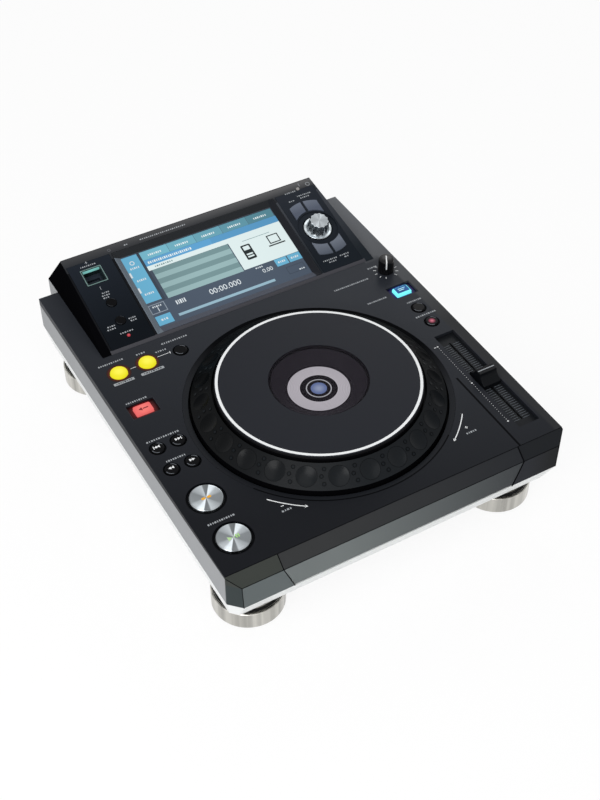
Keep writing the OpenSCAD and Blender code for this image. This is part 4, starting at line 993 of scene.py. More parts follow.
def finish_nodes(scene):
    """Gives every CAD node its slot's finish, and the visible ones soft edges."""
    case, glow = scene.case_colours, scene.lit_colours
    finishes = {**case_finishes(case), **fitting_finishes(case, glow)}
    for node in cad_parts.values():
        for held in node.material_slots:
            held.material = finishes[held.material.name.split(".")[0]]
    for name, width in EDGE_WIDTHS.items():
        soften_edges(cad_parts[name], width)
    paint_front(case)
    paint_panels(case)
    build_front_gaps()
    build_foot_steps(case)


# The jog wheel


JOG_RING_FOOT = (105.2, 3.5)
JOG_RING_TOP = (87.8, 16.1)
JOG_PLATE_TOP = 20.5
JOG_LABEL_TOP = 10.5
DIMPLES = 24
DIMPLE_PHASE = 9.0
# Rings on the grip: radius, width, low and high over the cone; the dimples' dark rims are painted shade, the
# dots' paler middles painted highlights
DIMPLE_SHADE_RING = (8.6, 0.35, -0.2, 0.04)
DOT_RING = (1.75, 0.6, -0.2, 0.25)
DOT_HIGHLIGHT = (1.15, 0.9, -0.2, 0.12)
DOT_SPOTS = [(6.1, 1.0), (0.3, -1.1), (-5.6, 0.9)]
# Section of the funnel between the window's seat and the display disc: radius and height
FUNNEL = [(39.2, 17.9), (39.2, 18.2), (27.3, 10.85), (27.3, 10.55)]


def cone_ring(radius, width, low, high, at=(0.0, 0.0), count=14):
    """A flat ring laid on the grip's cone: its points are offsets up the slope and round the axis from the
    middle of the slope at angle 0, lifted along the cone's normal."""
    foot, top = np.array(JOG_RING_FOOT), np.array(JOG_RING_TOP)
    up = (top - foot) / np.linalg.norm(top - foot)
    middle = (foot + top) / 2
    normal = np.array([up[1], -up[0]])
    angle = np.linspace(0.0, 2.0 * pi, count, endpoint=False)
    reach = np.array([radius, radius, radius - width, radius - width])[:, None]
    lift = np.array([low, high, high, low])[:, None]
    along, aside = at[0] - reach * np.cos(angle), at[1] + reach * np.sin(angle)
    out = middle[0] + along * up[0] + lift * normal[0]
    height = middle[1] + along * up[1] + lift * normal[1]
    turn = aside / (middle[0] + along * up[0])
    return loft(np.stack([out * np.cos(turn), out * np.sin(turn), height], axis=2), ring=True)


def about_axis(phase):
    """One frame for each dimple, turned about the jog's axis."""
    return turned_frames(phase + 360.0 / DIMPLES * np.arange(DIMPLES))


def build_jog_grip(case):
    """Dark rims of painted shade round the dimples, and three small dark rings between each two of them,
    whose paler middles are painted highlights.
    """
    grip = Piece("jog_grip_marks", "jog", JOG, "jog_rubber_black")
    rim = smooth_paint("dimple_rim", scaled(case.grip, 0.4), 0.3, 0.04)
    dot = smooth_paint("grip_dot", scaled(case.grip, 1.5), 0.3, 0.06)
    edge = cone_ring(*DIMPLE_SHADE_RING, count=16)
    grip.add(repeated(edge, about_axis(DIMPLE_PHASE)), rim)
    between = about_axis(DIMPLE_PHASE + 180.0 / DIMPLES)
    for at in DOT_SPOTS:
        grip.add(repeated(cone_ring(*DOT_RING, at), between), rim)
        grip.add(repeated(cone_ring(*DOT_HIGHLIGHT, at, 12), between), dot)
    grip.build()


# Label of the jog wheel: inner and outer radius of its rings, first and last fine line, radius of its light
LABEL_PALE, LABEL_WHITE, LABEL_LINES, LABEL_LIGHT = (15.6, 25.7), (9.7, 10.6), (16.8, 24.6), 6.7
PLATE_RING = (82.2, 84.5)


def build_jog_label(scene):
    """The label on the display disc: a lit grey ring with fine lines, a white ring and a blue light."""
    label = Piece("jog_label_print", "case", JOG, "jog_label")
    low, half, high = JOG_LABEL_TOP, JOG_LABEL_TOP + INK / 2, JOG_LABEL_TOP + INK
    middle = spot(JOG, 0.0, 0.0, high)
    pale = lit("label_grey", linear(214, 208, 216), linear(200, 195, 203), middle, 0.026, 1.4)
    label.add(ring_slab(*LABEL_PALE, low, high, count=96), pale)
    shade = lit("label_line", linear(172, 168, 174), linear(166, 162, 168), middle, 0.026, 1.35)
    for radius in np.linspace(*LABEL_LINES, 7):
        label.add(ring_slab(radius - 0.18, radius + 0.18, high, high + INK / 2, count=96), shade)
    dark = smooth_paint("label_dark", linear(20, 18, 22), 0.4, 0.04)
    label.add(slab(circle(LABEL_PALE[0], count=96), low, half), dark)
    white = lit("label_white", linear(235, 235, 240), linear(225, 225, 232), middle, 0.011, 0.9)
    label.add(ring_slab(*LABEL_WHITE, half, high, count=72), white)
    blue = lit("label_light", linear(196, 210, 246), scene.lit_colours.jog, middle, 0.0067, 0.85)
    label.add(slab(circle(LABEL_LIGHT, count=64), half, high), blue)
    label.build()


def build_jog(scene):
    """White ring on the plate, funnel under the window, marks on the grip, and the label in the middle."""
    marks = Piece("jog_marks", "jog", JOG, "jog_top")
    marks.add(ring_slab(*PLATE_RING, JOG_PLATE_TOP, JOG_PLATE_TOP + INK, count=160), white_ink(scene))
    funnel = smooth_paint("window_funnel", linear(54, 50, 57), 0.5, 0.03)
    marks.add(loft(turned(FUNNEL, count=96), ring=True), funnel)
    marks.build()
    build_jog_grip(scene.case_colours)
    build_jog_label(scene)


# The display housing: memory slot, small lamps and the touch screen's picture


# Memory slot: middle, width and depth, wall and rise of its frame, width of the outline, foot of its light
PORT_AT = (-106.15, 80.8)
PORT_SIZE = (19.6, 17.7)
PORT_WALL = 1.6
PORT_RISE = 0.3
PORT_LINE = 0.75
PORT_LIGHT_LOW = -3.4
STANDBY_AT = (109.75, 98.7)
# Profile of the standby lamp's cap as radius and height, ring of the sensor as radii and heights
LAMP_CAP = [(1.75, 0.0), (1.5, 0.45), (0.9, 0.75), (0.2, 0.85)]
SENSOR_RING = (0.8, 1.7, 0.0, 0.12)
SENSOR_AT = (-82.6, 101.3)
RIM_LINE = ((-126.0, 106.2), (126.0, 106.7))
# Small print and signs on the slope, in its millimetres
SLOPE_LABELS = [
    ((-106.8, 93.0), 15.0), ((-104.5, 60.4), 7.0), ((-105.4, 57.6), 8.0), ((-106.2, 55.0), 6.0),
    ((-115.1, 25.6), 7.5), ((-116.0, 22.8), 8.5), ((-94.8, 27.0), 7.0), ((-94.6, 24.3), 6.0),
    ((-105.4, 15.4), 13.0), ((-66.2, 101.3), 4.0), ((-29.5, 101.5), 46.0), ((100.6, 97.3), 12.0),
    ((96.9, 87.5), 6.0), ((111.5, 90.6), 15.0), ((111.0, 87.7), 10.0), ((96.7, 13.8), 15.0),
    ((98.2, 11.0), 8.0), ((112.0, 14.0), 10.0), ((113.0, 11.2), 5.0),
]
SLOPE_SIGNS = [
    oblong((-106.8, 64.4), (-106.4, 68.2)),
    oblong((112.5, 100.9), (113.0, 104.4)),
    arc_band(1.9, 0.5, 0.0, 359.0, (121.2, 100.6), 32),
    arrow_head((-106.8, 98.0), 90.0, 1.8),
    oblong((-107.0, 94.9), (-106.6, 97.0)),
]


def build_memory_slot(scene):
    """A pale outline on the slot's frame, light on its rear wall, and the dark socket inside."""
    glow = scene.lit_colours.memory
    x, y = PORT_AT
    width, depth = PORT_SIZE
    slot = Piece("memory_slot_light", "case", SLOPE, "lit_frame")
    outer = rounded(width, depth, 0.5, PORT_AT)
    inner = rounded(width - 2 * PORT_LINE, depth - 2 * PORT_LINE, 0.5, PORT_AT)
    outline = smooth_paint("slot_outline", linear(112, 138, 134), 0.35)
    slot.add(frame_slab(inner, outer, PORT_RISE, PORT_RISE + INK), outline)
    rear = y + depth / 2 - PORT_WALL
    light = lit("slot_light", glow, scaled(glow, 0.7), spot(SLOPE, x, rear), 0.011, 0.85)
    half = width / 2 - PORT_WALL
    slot.add(slab(oblong((x - half, rear - INK), (x + half, rear)), PORT_LIGHT_LOW, PORT_RISE), light)
    slot.build()
    repaint("usb_socket", grained("socket_shade", linear(46, 52, 62), 0.4, 900.0, 0.08, 0.05, specular=0.08))


def build_housing_marks(scene):
    """Cap of the standby lamp, round sensor, small print beside the controls, and a line along the rim."""
    marks = Piece("housing_marks", "case", SLOPE, "gloss_black")
    marks.add(loft(turned(LAMP_CAP, STANDBY_AT, 24)), smooth_paint("standby_cap", linear(150, 148, 146)))
    marks.add(ring_slab(*SENSOR_RING, SENSOR_AT, 24), smooth_paint("sensor_grey", linear(84, 85, 89)))
    for centre, width in SLOPE_LABELS:
        marks.add(small_print(centre, width), grey_ink())
    marks.add_flat(SLOPE_SIGNS, 0.0, grey_ink())
    marks.build()
    rim = smooth_paint("slope_rim_line", scaled(scene.case_colours.trim, 0.8), specular=0.08)
    flat_piece("housing_rim_line", "case", SLOPE, "gloss_black", [oblong(*RIM_LINE)], 0.0, rim)


PICTURE_LOW = (-76.3, 9.3)
PICTURE_SIZE = (152.6, 81.4)
PICTURE_LIFT = -3.8
# Rectangles of the picture: tone, left, top, right and bottom as shares of it, and layer
PICTURE_CELLS = [
    ("ground", 0.0, 0.0, 1.0, 1.0, 1),
    ("button", 0.0, 0.0, 0.1, 0.655, 2),
    ("gap", 0.1, 0.0, 0.118, 0.68, 2),
    ("shade", 0.118, 0.27, 0.136, 0.68, 2),
    ("figure", 0.0, 0.215, 0.012, 0.285, 3),
    ("figure", 0.0, 0.435, 0.012, 0.505, 3),
    ("button", 0.005, 0.85, 0.1, 0.975, 2),
    ("header", 0.118, 0.117, 0.55, 0.205, 2),
    ("header_end", 0.55, 0.117, 1.0, 0.205, 2),
    ("paper", 0.118, 0.205, 0.636, 0.268, 2),
    ("paper", 0.636, 0.205, 1.0, 0.67, 2),
    ("paper", 0.702, 0.375, 0.742, 0.43, 4),
    ("paper", 0.702, 0.48, 0.742, 0.5, 4),
    ("paper", 0.702, 0.515, 0.742, 0.535, 4),
    ("line", 0.855, 0.475, 0.965, 0.492, 3),
    ("row_dark", 0.722, 0.3, 0.905, 0.306, 3),
    ("button", 0.83, 0.675, 0.91, 0.775, 2),
    ("button", 0.917, 0.675, 1.0, 0.775, 2),
    ("bar", 0.14, 0.905, 0.77, 0.938, 2),
]
# Outlined boxes: the same, with the width of the line before the layer
PICTURE_FRAMES = [
    ("outline", 0.0, 0.69, 0.1, 0.815, 0.005, 2),
    ("line", 0.87, 0.34, 0.945, 0.46, 0.007, 3),
    ("gap", 0.87, 0.82, 0.985, 0.92, 0.003, 2),
]
# Rows of dashes: tone, left, right and middle as shares, layer, and height in millimetres
PICTURE_WORDS = [
    ("figure", 0.02, 0.08, 0.17, 3, 2.0),
    ("figure", 0.02, 0.08, 0.345, 3, 2.0),
    ("figure", 0.02, 0.08, 0.54, 3, 2.0),
    ("figure", 0.02, 0.08, 0.725, 2, 1.6),
    ("figure", 0.03, 0.075, 0.91, 3, 2.0),
    ("white", 0.135, 0.42, 0.163, 3, 2.6),
    ("row_dark", 0.16, 0.28, 0.236, 3, 1.6),
    ("figure", 0.7, 0.75, 0.7, 2, 1.4),
    ("figure", 0.16, 0.225, 0.765, 2, 4.4),
    ("figure", 0.845, 0.895, 0.725, 3, 2.0),
    ("figure", 0.932, 0.985, 0.725, 3, 2.0),
    ("figure", 0.94, 0.978, 0.9, 2, 1.4),
]
# Figures: text, height in millimetres, and place as shares
PICTURE_FIGURES = [("1", 4.8, 0.05, 0.775), ("00:00.000", 5.6, 0.475, 0.79), ("0.00", 4.2, 0.765, 0.765)]
# Tabs and rows of the list: how many, where the first starts and the pitch, as shares
TABS, TAB_LEFT, TAB_PITCH = 5, 0.118, 0.176
ROWS, ROW_TOP, ROW_PITCH = 6, 0.27, 0.068
# A tab's width and height, its words' ends and middle, and the ends of the rows, as shares
TAB_SIZE = (0.174, 0.115)
TAB_WORDS = (0.04, 0.13, 0.065)
ROW_ENDS = (0.136, 0.63)
# Ring on the first button, as radii, and card on the white panel, as width, height and corner
BUTTON_RING, BUTTON_RING_AT = (1.5, 2.3), (0.05, 0.1)
CARD, CARD_AT = (9.5, 17.0, 1.2), (0.722, 0.46)


def picture_point(across, down):
    """A place on the picture by its shares of the width from the left and of the height from the top."""
    return PICTURE_LOW[0] + across * PICTURE_SIZE[0], PICTURE_LOW[1] + (1.0 - down) * PICTURE_SIZE[1]


def picture_level(layer):
    """Height of a layer's foot on the slope."""
    return PICTURE_LIFT + (layer - 1) * LAYER


def picture_cell(left, top, right, bottom, layer):
    """A rectangle of the picture by its shares, one thin layer over the one before."""
    low = picture_level(layer)
    return slab(oblong(picture_point(left, bottom), picture_point(right, top)), low, low + LAYER)


def picture_frame(left, top, right, bottom, wide, layer):
    """Four lines round a rectangle of the picture."""
    tall = wide * PICTURE_SIZE[0] / PICTURE_SIZE[1]
    sides = [
        (left, top, right, top + tall),
        (left, bottom - tall, right, bottom),
        (left, top, left + wide, bottom),
        (right - wide, top, right, bottom),
    ]
    return [picture_cell(*side, layer) for side in sides]


def picture_words(left, right, down, layer, height):
    """A row of dashes where the picture would have words."""
    low, high = picture_point(left, down), picture_point(right, down)
    centre = ((low[0] + high[0]) / 2, low[1])
    return small_print(centre, high[0] - low[0], height, picture_level(layer))


def glowing(name, colour, fade=0.84):
    """An even colour of the picture, a little stronger at the middle of the screen."""
    middle = spot(SLOPE, *picture_point(0.5, 0.5))
    return lit(name, colour, scaled(colour, fade), middle, 0.11, 0.92, 0.14, 0.05, 0.08)


def picture_tones(tones):
    """The picture's finishes by the names of its tones; the tabs get darker towards the right."""
    colours = {
        "ground": tones.ground,
        "gap": scaled(tones.ground, 0.62),
        "shade": scaled(tones.ground, 0.8),
        "button": tones.button,
        "header": tones.header,
        "header_end": scaled(tones.header, 0.9),
        "row_dark": tones.row_dark,
        "row_light": tones.row_light,
        "figure": linear(230, 238, 242),
        "white": linear(240, 250, 250),
        "line": linear(38, 46, 48),
        "outline": linear(150, 162, 174),
        "bar": linear(158, 192, 208),
    }
    colours.update({f"tab_{tab + 1}": scaled(tones.tab, 1.0 - 0.12 * tab) for tab in range(TABS)})
    made = {name: glowing(f"picture_{name}", colour) for name, colour in colours.items()}
    return {**made, "paper": glowing("picture_paper", tones.paper, fade=0.95)}


def picture_tabs(picture, tones):
    """The row of tabs, and the striped rows of the list under it."""
    width, height = TAB_SIZE
    start, end, middle = TAB_WORDS
    for tab in range(TABS):
        left = TAB_LEFT + TAB_PITCH * tab
        picture.add(picture_cell(left, 0.0, left + width, height, 2), tones[f"tab_{tab + 1}"])
        picture.add(picture_words(left + start, left + end, middle, 3, 2.0), tones["white"])
    for row in range(ROWS):
        top = ROW_TOP + ROW_PITCH * row
        tone = tones["row_light" if row % 2 else "row_dark"]
        picture.add(picture_cell(ROW_ENDS[0], top, ROW_ENDS[1], top + ROW_PITCH, 2), tone)


def picture_signs(picture, tones):
    """The ring on the first button, the plain card on the white panel, and the figures."""
    low = picture_level(3)
    ring = ring_slab(*BUTTON_RING, low, low + LAYER, picture_point(*BUTTON_RING_AT), 24)
    picture.add(ring, tones["figure"])
    picture.add(slab(rounded(*CARD, picture_point(*CARD_AT)), low, low + LAYER), tones["line"])
    for text, height, across, down in PICTURE_FIGURES:
        picture.add(numerals(text, height, picture_point(across, down), picture_level(2)), tones["figure"])


def build_screen(scene):
    """A plain list view, lit from behind: buttons, tabs, a striped list, a white panel and figures."""
    tones = picture_tones(scene.screen_colours)
    picture = Piece("screen_picture", "case", SLOPE, "screen_glass")
    for tone, *cell in PICTURE_CELLS:
        picture.add(picture_cell(*cell), tones[tone])
    for tone, *box in PICTURE_FRAMES:
        for side in picture_frame(*box):
            picture.add(side, tones[tone])
    for tone, *words in PICTURE_WORDS:
        picture.add(picture_words(*words), tones[tone])
    picture_tabs(picture, tones)
    picture_signs(picture, tones)
    picture.build()


# The selector


SELECTOR_AT = (104.75, 51.0)
FLUTES, FLUTE_STEPS, FLUTE_POWER = 12, 10, 0.8
# Painted highlight ring on the selector's skirt: start of its painted reflection fan in degrees, radii and
# heights; turned top: radius, height
SKIRT_START = -36.0
SKIRT_SHEEN = (10.85, 12.7, -0.7, -0.5)
SELECTOR_CAP, SELECTOR_TOP = 7.4, 10.2
# Profile of the selector knob from the top of its bore, down, out and up again: radius, height, flute depth
SELECTOR_PROFILE = [
    (0.3, 7.7, 0.0), (3.03, 7.7, 0.0), (3.03, -1.8, 0.0), (12.6, -1.8, 0.0), (13.0, -1.5, 0.0),
    (13.0, -0.95, 0.0), (12.75, -0.68, 0.0), (12.0, -0.66, 0.0), (10.75, -0.6, 0.0), (10.35, 0.2, 0.3),
    (10.1, 1.6, 0.9), (9.6, 5.0, 0.95), (8.9, 9.2, 0.9), (8.75, 9.8, 0.85), (8.3, 10.15, 0.75),
    (7.6, 10.2, 0.3), (6.4, 10.2, 0.0),
]


def build_selector(scene):
    """The fluted knob over its wide skirt, with a turned top and a painted highlight ring on the skirt, both
    with a painted reflection fan.
    """
    metal = scene.case_colours.metal
    radius, height, depth = np.array(SELECTOR_PROFILE).T
    angle = np.linspace(0.0, 2.0 * pi, FLUTES * FLUTE_STEPS, endpoint=False)
    wave = (0.5 - 0.5 * np.cos(FLUTES * angle)) ** FLUTE_POWER
    knob = Piece("selector_grip", "selector_knob", SLOPE, "selector_metal")
    chrome = brushed("selector_chrome", metal, 0.3, (40.0, 40.0, 900.0), 0.08, 0.05)
    knob.add(loft(waved(radius, height, depth, wave, SELECTOR_AT)), chrome)
    top = spun("selector_top", metal, 0.34, spot(SLOPE, *SELECTOR_AT, SELECTOR_TOP), 0.35)
    knob.add(slab(circle(SELECTOR_CAP, SELECTOR_AT, 60), SELECTOR_TOP, SELECTOR_TOP + INK), top)
    # The skirt ring's bright tint is a painted highlight.
    bright = spun("selector_skirt", linear(214, 222, 226), 0.3, spot(SLOPE, *SELECTOR_AT), 0.42, SKIRT_START)
    knob.add(ring_slab(*SKIRT_SHEEN, SELECTOR_AT, 96), bright)
    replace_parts(knob.build(), "selector_knob")


# Keys


# Middles of the keys on the deck and of those on the left panel, in their millimetres
PLAY_AT, PLAY_RADIUS = (-130.0, 29.6), 13.6
CUE_AT, CUE_RADIUS = (-130.0, 74.3), 13.5
LOOP_KEYS = {"loop_in": (-130.7, 233.9), "loop_out": (-104.5, 233.9)}
ROUND_KEYS = {
    "track_back": (-139.8, 139.9), "track_forward": (-121.6, 139.9), "search_back": (-139.8, 114.2),
    "search_forward": (-121.6, 114.2), "reloop": (-73.2, 233.9), "tempo_range": (133.3, 179.6),
    "master_tempo": (133.3, 158.7),
}
PANEL_KEYS = {"usb_stop": (-104.35, 48.3), "time_mode": (-105.15, 28.1)}
REVERSE_AT = (-130.7, 186.2)
MODE_AT = (133.3, 207.0)
KEY_TOP = 0.8
DISC_TOP = 1.0
# A disc's upper edge as inset from its radius and drop from its top, its dish as share of its radius and drop
DISC_EDGE = [(0.0, 0.75), (0.12, 0.45), (0.5, 0.06), (0.85, 0.0), (1.4, 0.06)]
DISC_BOWL = [(0.6, 0.16), (0.2, 0.2)]
BAR_TOP = 0.1
LOOP_TOP = 2.2
LOOP_HALO = (7.85, 10.5, 0.0, INK)
# Flange under the deck: low, high, and how far it passes its key
FLANGE_LOW, FLANGE_TOP, FLANGE_REACH = -5.1, -4.1, 1.0
BAR_SIZE = (15.2, 10.6)
BAR_CORNER, BAR_EDGE = 1.6, 0.6
RECESS_SIZE = (24.4, 16.6)
RECESS_DEPTH = 2.0


def key_disc(name, node, at, radius, scene):
    """A turned disc with a flange under the deck, a bright chamfer and a shallow dish: a profile carried
    round."""
    wide = radius + FLANGE_REACH
    flange = [(wide, FLANGE_LOW), (wide, FLANGE_TOP), (radius, FLANGE_TOP)]
    edge = [(radius - inset, DISC_TOP - drop) for inset, drop in DISC_EDGE]
    bowl = [(radius * share, DISC_TOP - drop) for share, drop in DISC_BOWL]
    disc = Piece(name, node, DECK, "key_disc")
    # The disc's fan of light and dark wedges is painted reflection.
    metal = spun(f"{name}_metal", scene.case_colours.metal, 0.34, spot(DECK, *at, DISC_TOP))
    disc.add(loft(turned(flange + edge + bowl, at, 96)), metal)
    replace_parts(disc.build(), node)


def key_signs(name, body, at, shapes, material, top=KEY_TOP):
    """Flat signs on a key: outlines about its middle, given a hair of thickness on its top."""
    outlines = [outline + np.array(at) for outline in shapes]
    flat_piece(name, body, DECK, "case_black", outlines, top, material)


def skip_sign(forward, bar):
    """Two triangles in a row, with a bar at their tips for a jump to the next piece."""
    side = 1.0 if forward else -1.0
    aim = 0.0 if forward else 180.0
    shapes = [arrow_head((side * 0.1, 1.0), aim, 2.4), arrow_head((side * 2.5, 1.0), aim, 2.4)]
    if bar:
        ends = sorted([side * 2.6, side * 3.2])
        shapes.append(oblong((ends[0], -0.5), (ends[1], 2.5)))
    return shapes


def lit_bar(name, node, at, core, rim):
    """A lit key with rounded corners: its outline draws in at the top, over a flange under the deck."""
    width, depth = BAR_SIZE
    key = Piece(name, node, DECK, "reverse_red")
    cap = lit(f"{name}_cap", core, rim, spot(DECK, *at), 0.008, 0.95)
    flange = rounded(width + 2 * FLANGE_REACH, depth + 2 * FLANGE_REACH, 2.0, at)
    key.add(slab(flange, FLANGE_LOW, FLANGE_TOP), cap)

    def outline(inset):
        return rounded(width - 2 * inset, depth - 2 * inset, BAR_CORNER - 0.9 * inset, at)

    key.add(pillow(outline, FLANGE_TOP, BAR_TOP, BAR_EDGE), cap)
    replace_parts(key.build(), node)


def recess_glow(name, at, colour):
    """Light on a recess's floor round its key, fading outwards, and a painted highlight on the rim of the
    recess.
    """
    light = Piece(name, "case", DECK, "case_black")
    fade = lit(f"{name}_light", colour, scaled(colour, 0.02), spot(DECK, *at), 0.0132, 0.95)
    inner = rounded(BAR_SIZE[0] + 1.0, BAR_SIZE[1] + 1.0, BAR_CORNER, at)
    outer = rounded(RECESS_SIZE[0] - 0.2, RECESS_SIZE[1] - 0.2, 0.3, at)
    light.add(frame_slab(inner, outer, -RECESS_DEPTH, INK - RECESS_DEPTH), fade)
    # The rim's paler grey is a painted highlight on the recess's edge.
    rim = smooth_paint(f"{name}_rim", linear(52, 52, 57), specular=0.06)
    edge = rounded(RECESS_SIZE[0] + 0.7, RECESS_SIZE[1] + 0.7, 0.5, at)
    light.add(frame_slab(rounded(*RECESS_SIZE, 0.3, at), edge, 0.0, INK), rim)
    light.build()


def build_discs(scene):
    """The play and cue discs with their signs."""
    glow = scene.lit_colours
    key_disc("play_disc", "play_button", PLAY_AT, PLAY_RADIUS, scene)
    key_disc("cue_disc", "cue_button", CUE_AT, CUE_RADIUS, scene)
    top = DISC_TOP - 0.2
    pale = tuple(0.5 * value + 0.3 for value in glow.play)
    green = lit("play_sign_light", glow.play, pale, spot(DECK, PLAY_AT[0] + 3.0, PLAY_AT[1]), 0.005, 0.8)
    amber = lit("cue_sign_light", glow.cue, glow.cue, spot(DECK, *CUE_AT), 0.01, 0.8)
    pause = [oblong((1.9, -1.7), (2.8, 1.7)), oblong((3.8, -1.7), (4.7, 1.7))]
    play = [arrow_head((-1.0, 0.0), 0.0, 3.6), oblong((0.2, -1.2), (0.6, 1.2))]
    key_signs("play_sign", "play_button", PLAY_AT, play + pause, green, top)
    bars = [rounded(3.4, 2.2, 0.9, (-2.4, 0.0)), rounded(3.4, 2.2, 0.9, (2.4, 0.0))]
    key_signs("cue_sign", "cue_button", CUE_AT, bars, amber, top)


def build_loop_keys(scene):
    """The two lit loop keys and the light that they throw on the deck."""
    glow = scene.lit_colours
    for name, at in LOOP_KEYS.items():
        core = tuple(0.92 * value + 0.08 for value in glow.loop)
        cap = lit(f"{name}_cap", core, scaled(glow.loop, 0.84), spot(DECK, *at, LOOP_TOP), 0.0075, 0.9)
        repaint(f"{name}_button", cap)
        halo = Piece(f"{name}_halo", "case", DECK, "case_black")
        fade = lit(f"{name}_halo_light", glow.loop_halo, linear(26, 14, 12), spot(DECK, *at), 0.0112, 1.0)
        halo.add(ring_slab(*LOOP_HALO, at, 64), fade)
        halo.build()


def build_bar_keys(scene):
    """The direction and jog-mode keys with their marks and the light in their recesses."""
    glow = scene.lit_colours
    lit_bar("reverse_key", "reverse_button", REVERSE_AT, glow.reverse, linear(222, 100, 98))
    lit_bar("mode_key", "jog_mode_button", MODE_AT, glow.mode, glow.mode)
    recess_glow("reverse_glow", REVERSE_AT, glow.reverse_halo)
    recess_glow("mode_glow", MODE_AT, glow.mode_halo)
    maroon = grained("reverse_sign", linear(120, 40, 44), 0.4, specular=0.1)
    signs = [arrow_head((-4.2, 0.0), 180.0, 3.2), oblong((-0.4, -0.6), (4.4, 0.6))]
    key_signs("reverse_sign", "reverse_button", REVERSE_AT, signs, maroon, BAR_TOP)
    blue = lit("mode_plate", linear(16, 58, 110), linear(26, 84, 150), spot(DECK, *MODE_AT), 0.006, 0.85)
    key_signs("mode_plate", "jog_mode_button", MODE_AT, [rounded(12.4, 7.6, 0.8, (0.6, 0.9))], blue, BAR_TOP)
    marks = [rounded(7.4, 0.8, 0.3, (0.8, 2.3)), rounded(5.6, 0.8, 0.3, (-0.1, 0.3))]
    pale = lit("mode_marks", linear(190, 240, 255), linear(150, 220, 250), spot(DECK, *MODE_AT), 0.006, 0.9)
    key_signs("mode_marks", "jog_mode_button", MODE_AT, marks, pale, BAR_TOP + INK)


# Keys with a skip sign: whether it points forward and whether it has a bar
SKIP_KEYS = {
    "track_back": (False, True), "track_forward": (True, True), "search_back": (False, False),
    "search_forward": (True, False),
}
# Painted highlight crescents on a key's edge: width, first and last angle, for the near and the far one;
# their radii
GLINTS = [(0.5, 190.0, 265.0), (0.45, 20.0, 75.0)]
DECK_GLINT, PANEL_GLINT = 5.2, 4.1
# Painted shade on the floors of the dishes round the small keys and the discs: inner and outer radius, low
# and high
DISH_SHADE_HEIGHTS = (-1.2, INK - 1.2)
KEY_DISH_SHADE, DISC_DISH_SHADE = (6.15, 7.05, *DISH_SHADE_HEIGHTS), (13.95, 15.85, *DISH_SHADE_HEIGHTS)


def key_glints(key, at, place, radius, tone):
    """Painted highlights as bright crescents on the near and far sides of a round key's edge."""
    crescents = [arc_band(radius, *glint, at) for glint in GLINTS]
    flat_piece(f"{key}_glints", f"{key}_button", place, "key_black", crescents, KEY_TOP, tone)


def build_key_glints():
    """Painted highlight crescents on the deck's small keys, and dimmer ones on the keys of the left panel."""
    bright = smooth_paint("key_glint", linear(104, 108, 114), specular=0.08)
    dim = smooth_paint("key_glint_dim", linear(46, 49, 54), specular=0.08)
    for key, at in ROUND_KEYS.items():
        key_glints(key, at, DECK, DECK_GLINT, bright)
    for key, at in PANEL_KEYS.items():
        key_glints(key, at, SLOPE, PANEL_GLINT, dim)


def build_dish_shade():
    """Painted shade: dark floors of the dishes round the small keys and the discs, as flat sections carried
    round.
    """
    dishes = Piece("key_dishes", "case", DECK, "case_black")
    for at in ROUND_KEYS.values():
        dishes.add(ring_slab(*KEY_DISH_SHADE, at, 48), dark_line())
    for at in (PLAY_AT, CUE_AT):
        dishes.add(ring_slab(*DISC_DISH_SHADE, at, 72), dark_line())
    dishes.build()


def build_keys(scene):
    """Turned discs, lit keys with their halos, and the signs on the small keys."""
    build_discs(scene)
    build_loop_keys(scene)
    build_bar_keys(scene)
    build_dish_shade()
    build_key_glints()
    for key, sign in SKIP_KEYS.items():
        key_signs(f"{key}_sign", f"{key}_button", ROUND_KEYS[key], skip_sign(*sign), white_ink(scene))
    at = ROUND_KEYS["master_tempo"]
    middle = spot(DECK, *at, KEY_TOP)
    rose = lit("master_light", linear(206, 112, 132), linear(90, 16, 40), middle, 0.003, 0.95)
    key_signs("master_light", "master_tempo_button", at, [circle(3.1, count=32)], rose)


# Print on the deck


DECK_LABELS = [
    ((-82.2, 33.7), 9.0), ((86.6, 31.8), 10.0), ((-130.2, 49.5), 23.0), ((-132.1, 197.1), 19.0),
    ((-131.0, 149.4), 29.0), ((-132.0, 123.4), 17.5), ((-88.4, 241.6), 10.5), ((-72.4, 248.5), 24.5),
    ((97.6, 235.5), 36.0), ((126.8, 247.0), 10.0), ((106.2, 205.6), 20.0), ((134.6, 189.4), 15.0),
    ((133.8, 169.2), 21.0), ((-132.0, 248.4), 23.0), ((-104.9, 246.9), 9.0),
]
KNOB_AT = (135.3, 237.1)
# Ticks round the speed knob: inner and outer radius, first and last angle, how many; and half their width
KNOB_TICKS = (8.8, 11.4, -60.0, 240.0, 11)
TICK_HALF = 0.26
# Arrows round the jog wheel: radius, first and last angle of each
ARROW_RADIUS = 118.0
TURN_ARROWS = [(-39.0, -53.7), (-140.0, -125.0)]
# Thin lines between two corners
DECK_LINES = [
    ((-121.4, 233.7), (-114.0, 234.1)), ((-95.0, 235.7), (-82.6, 236.1)), ((-82.6, 234.4), (-82.1, 237.4)),
    ((115.6, 128.4), (117.6, 129.0)), ((84.6, 37.5), (87.2, 38.1)), ((85.6, 36.5), (86.2, 39.1)),
    ((-84.6, 38.4), (-82.0, 39.0)),
]
# Rows of the fader's scale, the dots' place across the deck, and the larger dots' places along it
SCALE_ROWS = np.linspace(27.0, 128.7, 41)
SCALE_X = 119.2
SCALE_DOTS = (27.0, 77.8, 128.7)
SMALL_DOT, LARGE_DOT = 0.28, 0.75
# Grey bars in front of the loop keys: middle, length, and length of the dark print on them
LOOP_BARS = [((-131.2, 222.3), 18.4, 15.0), ((-104.9, 222.5), 20.7, 17.0)]


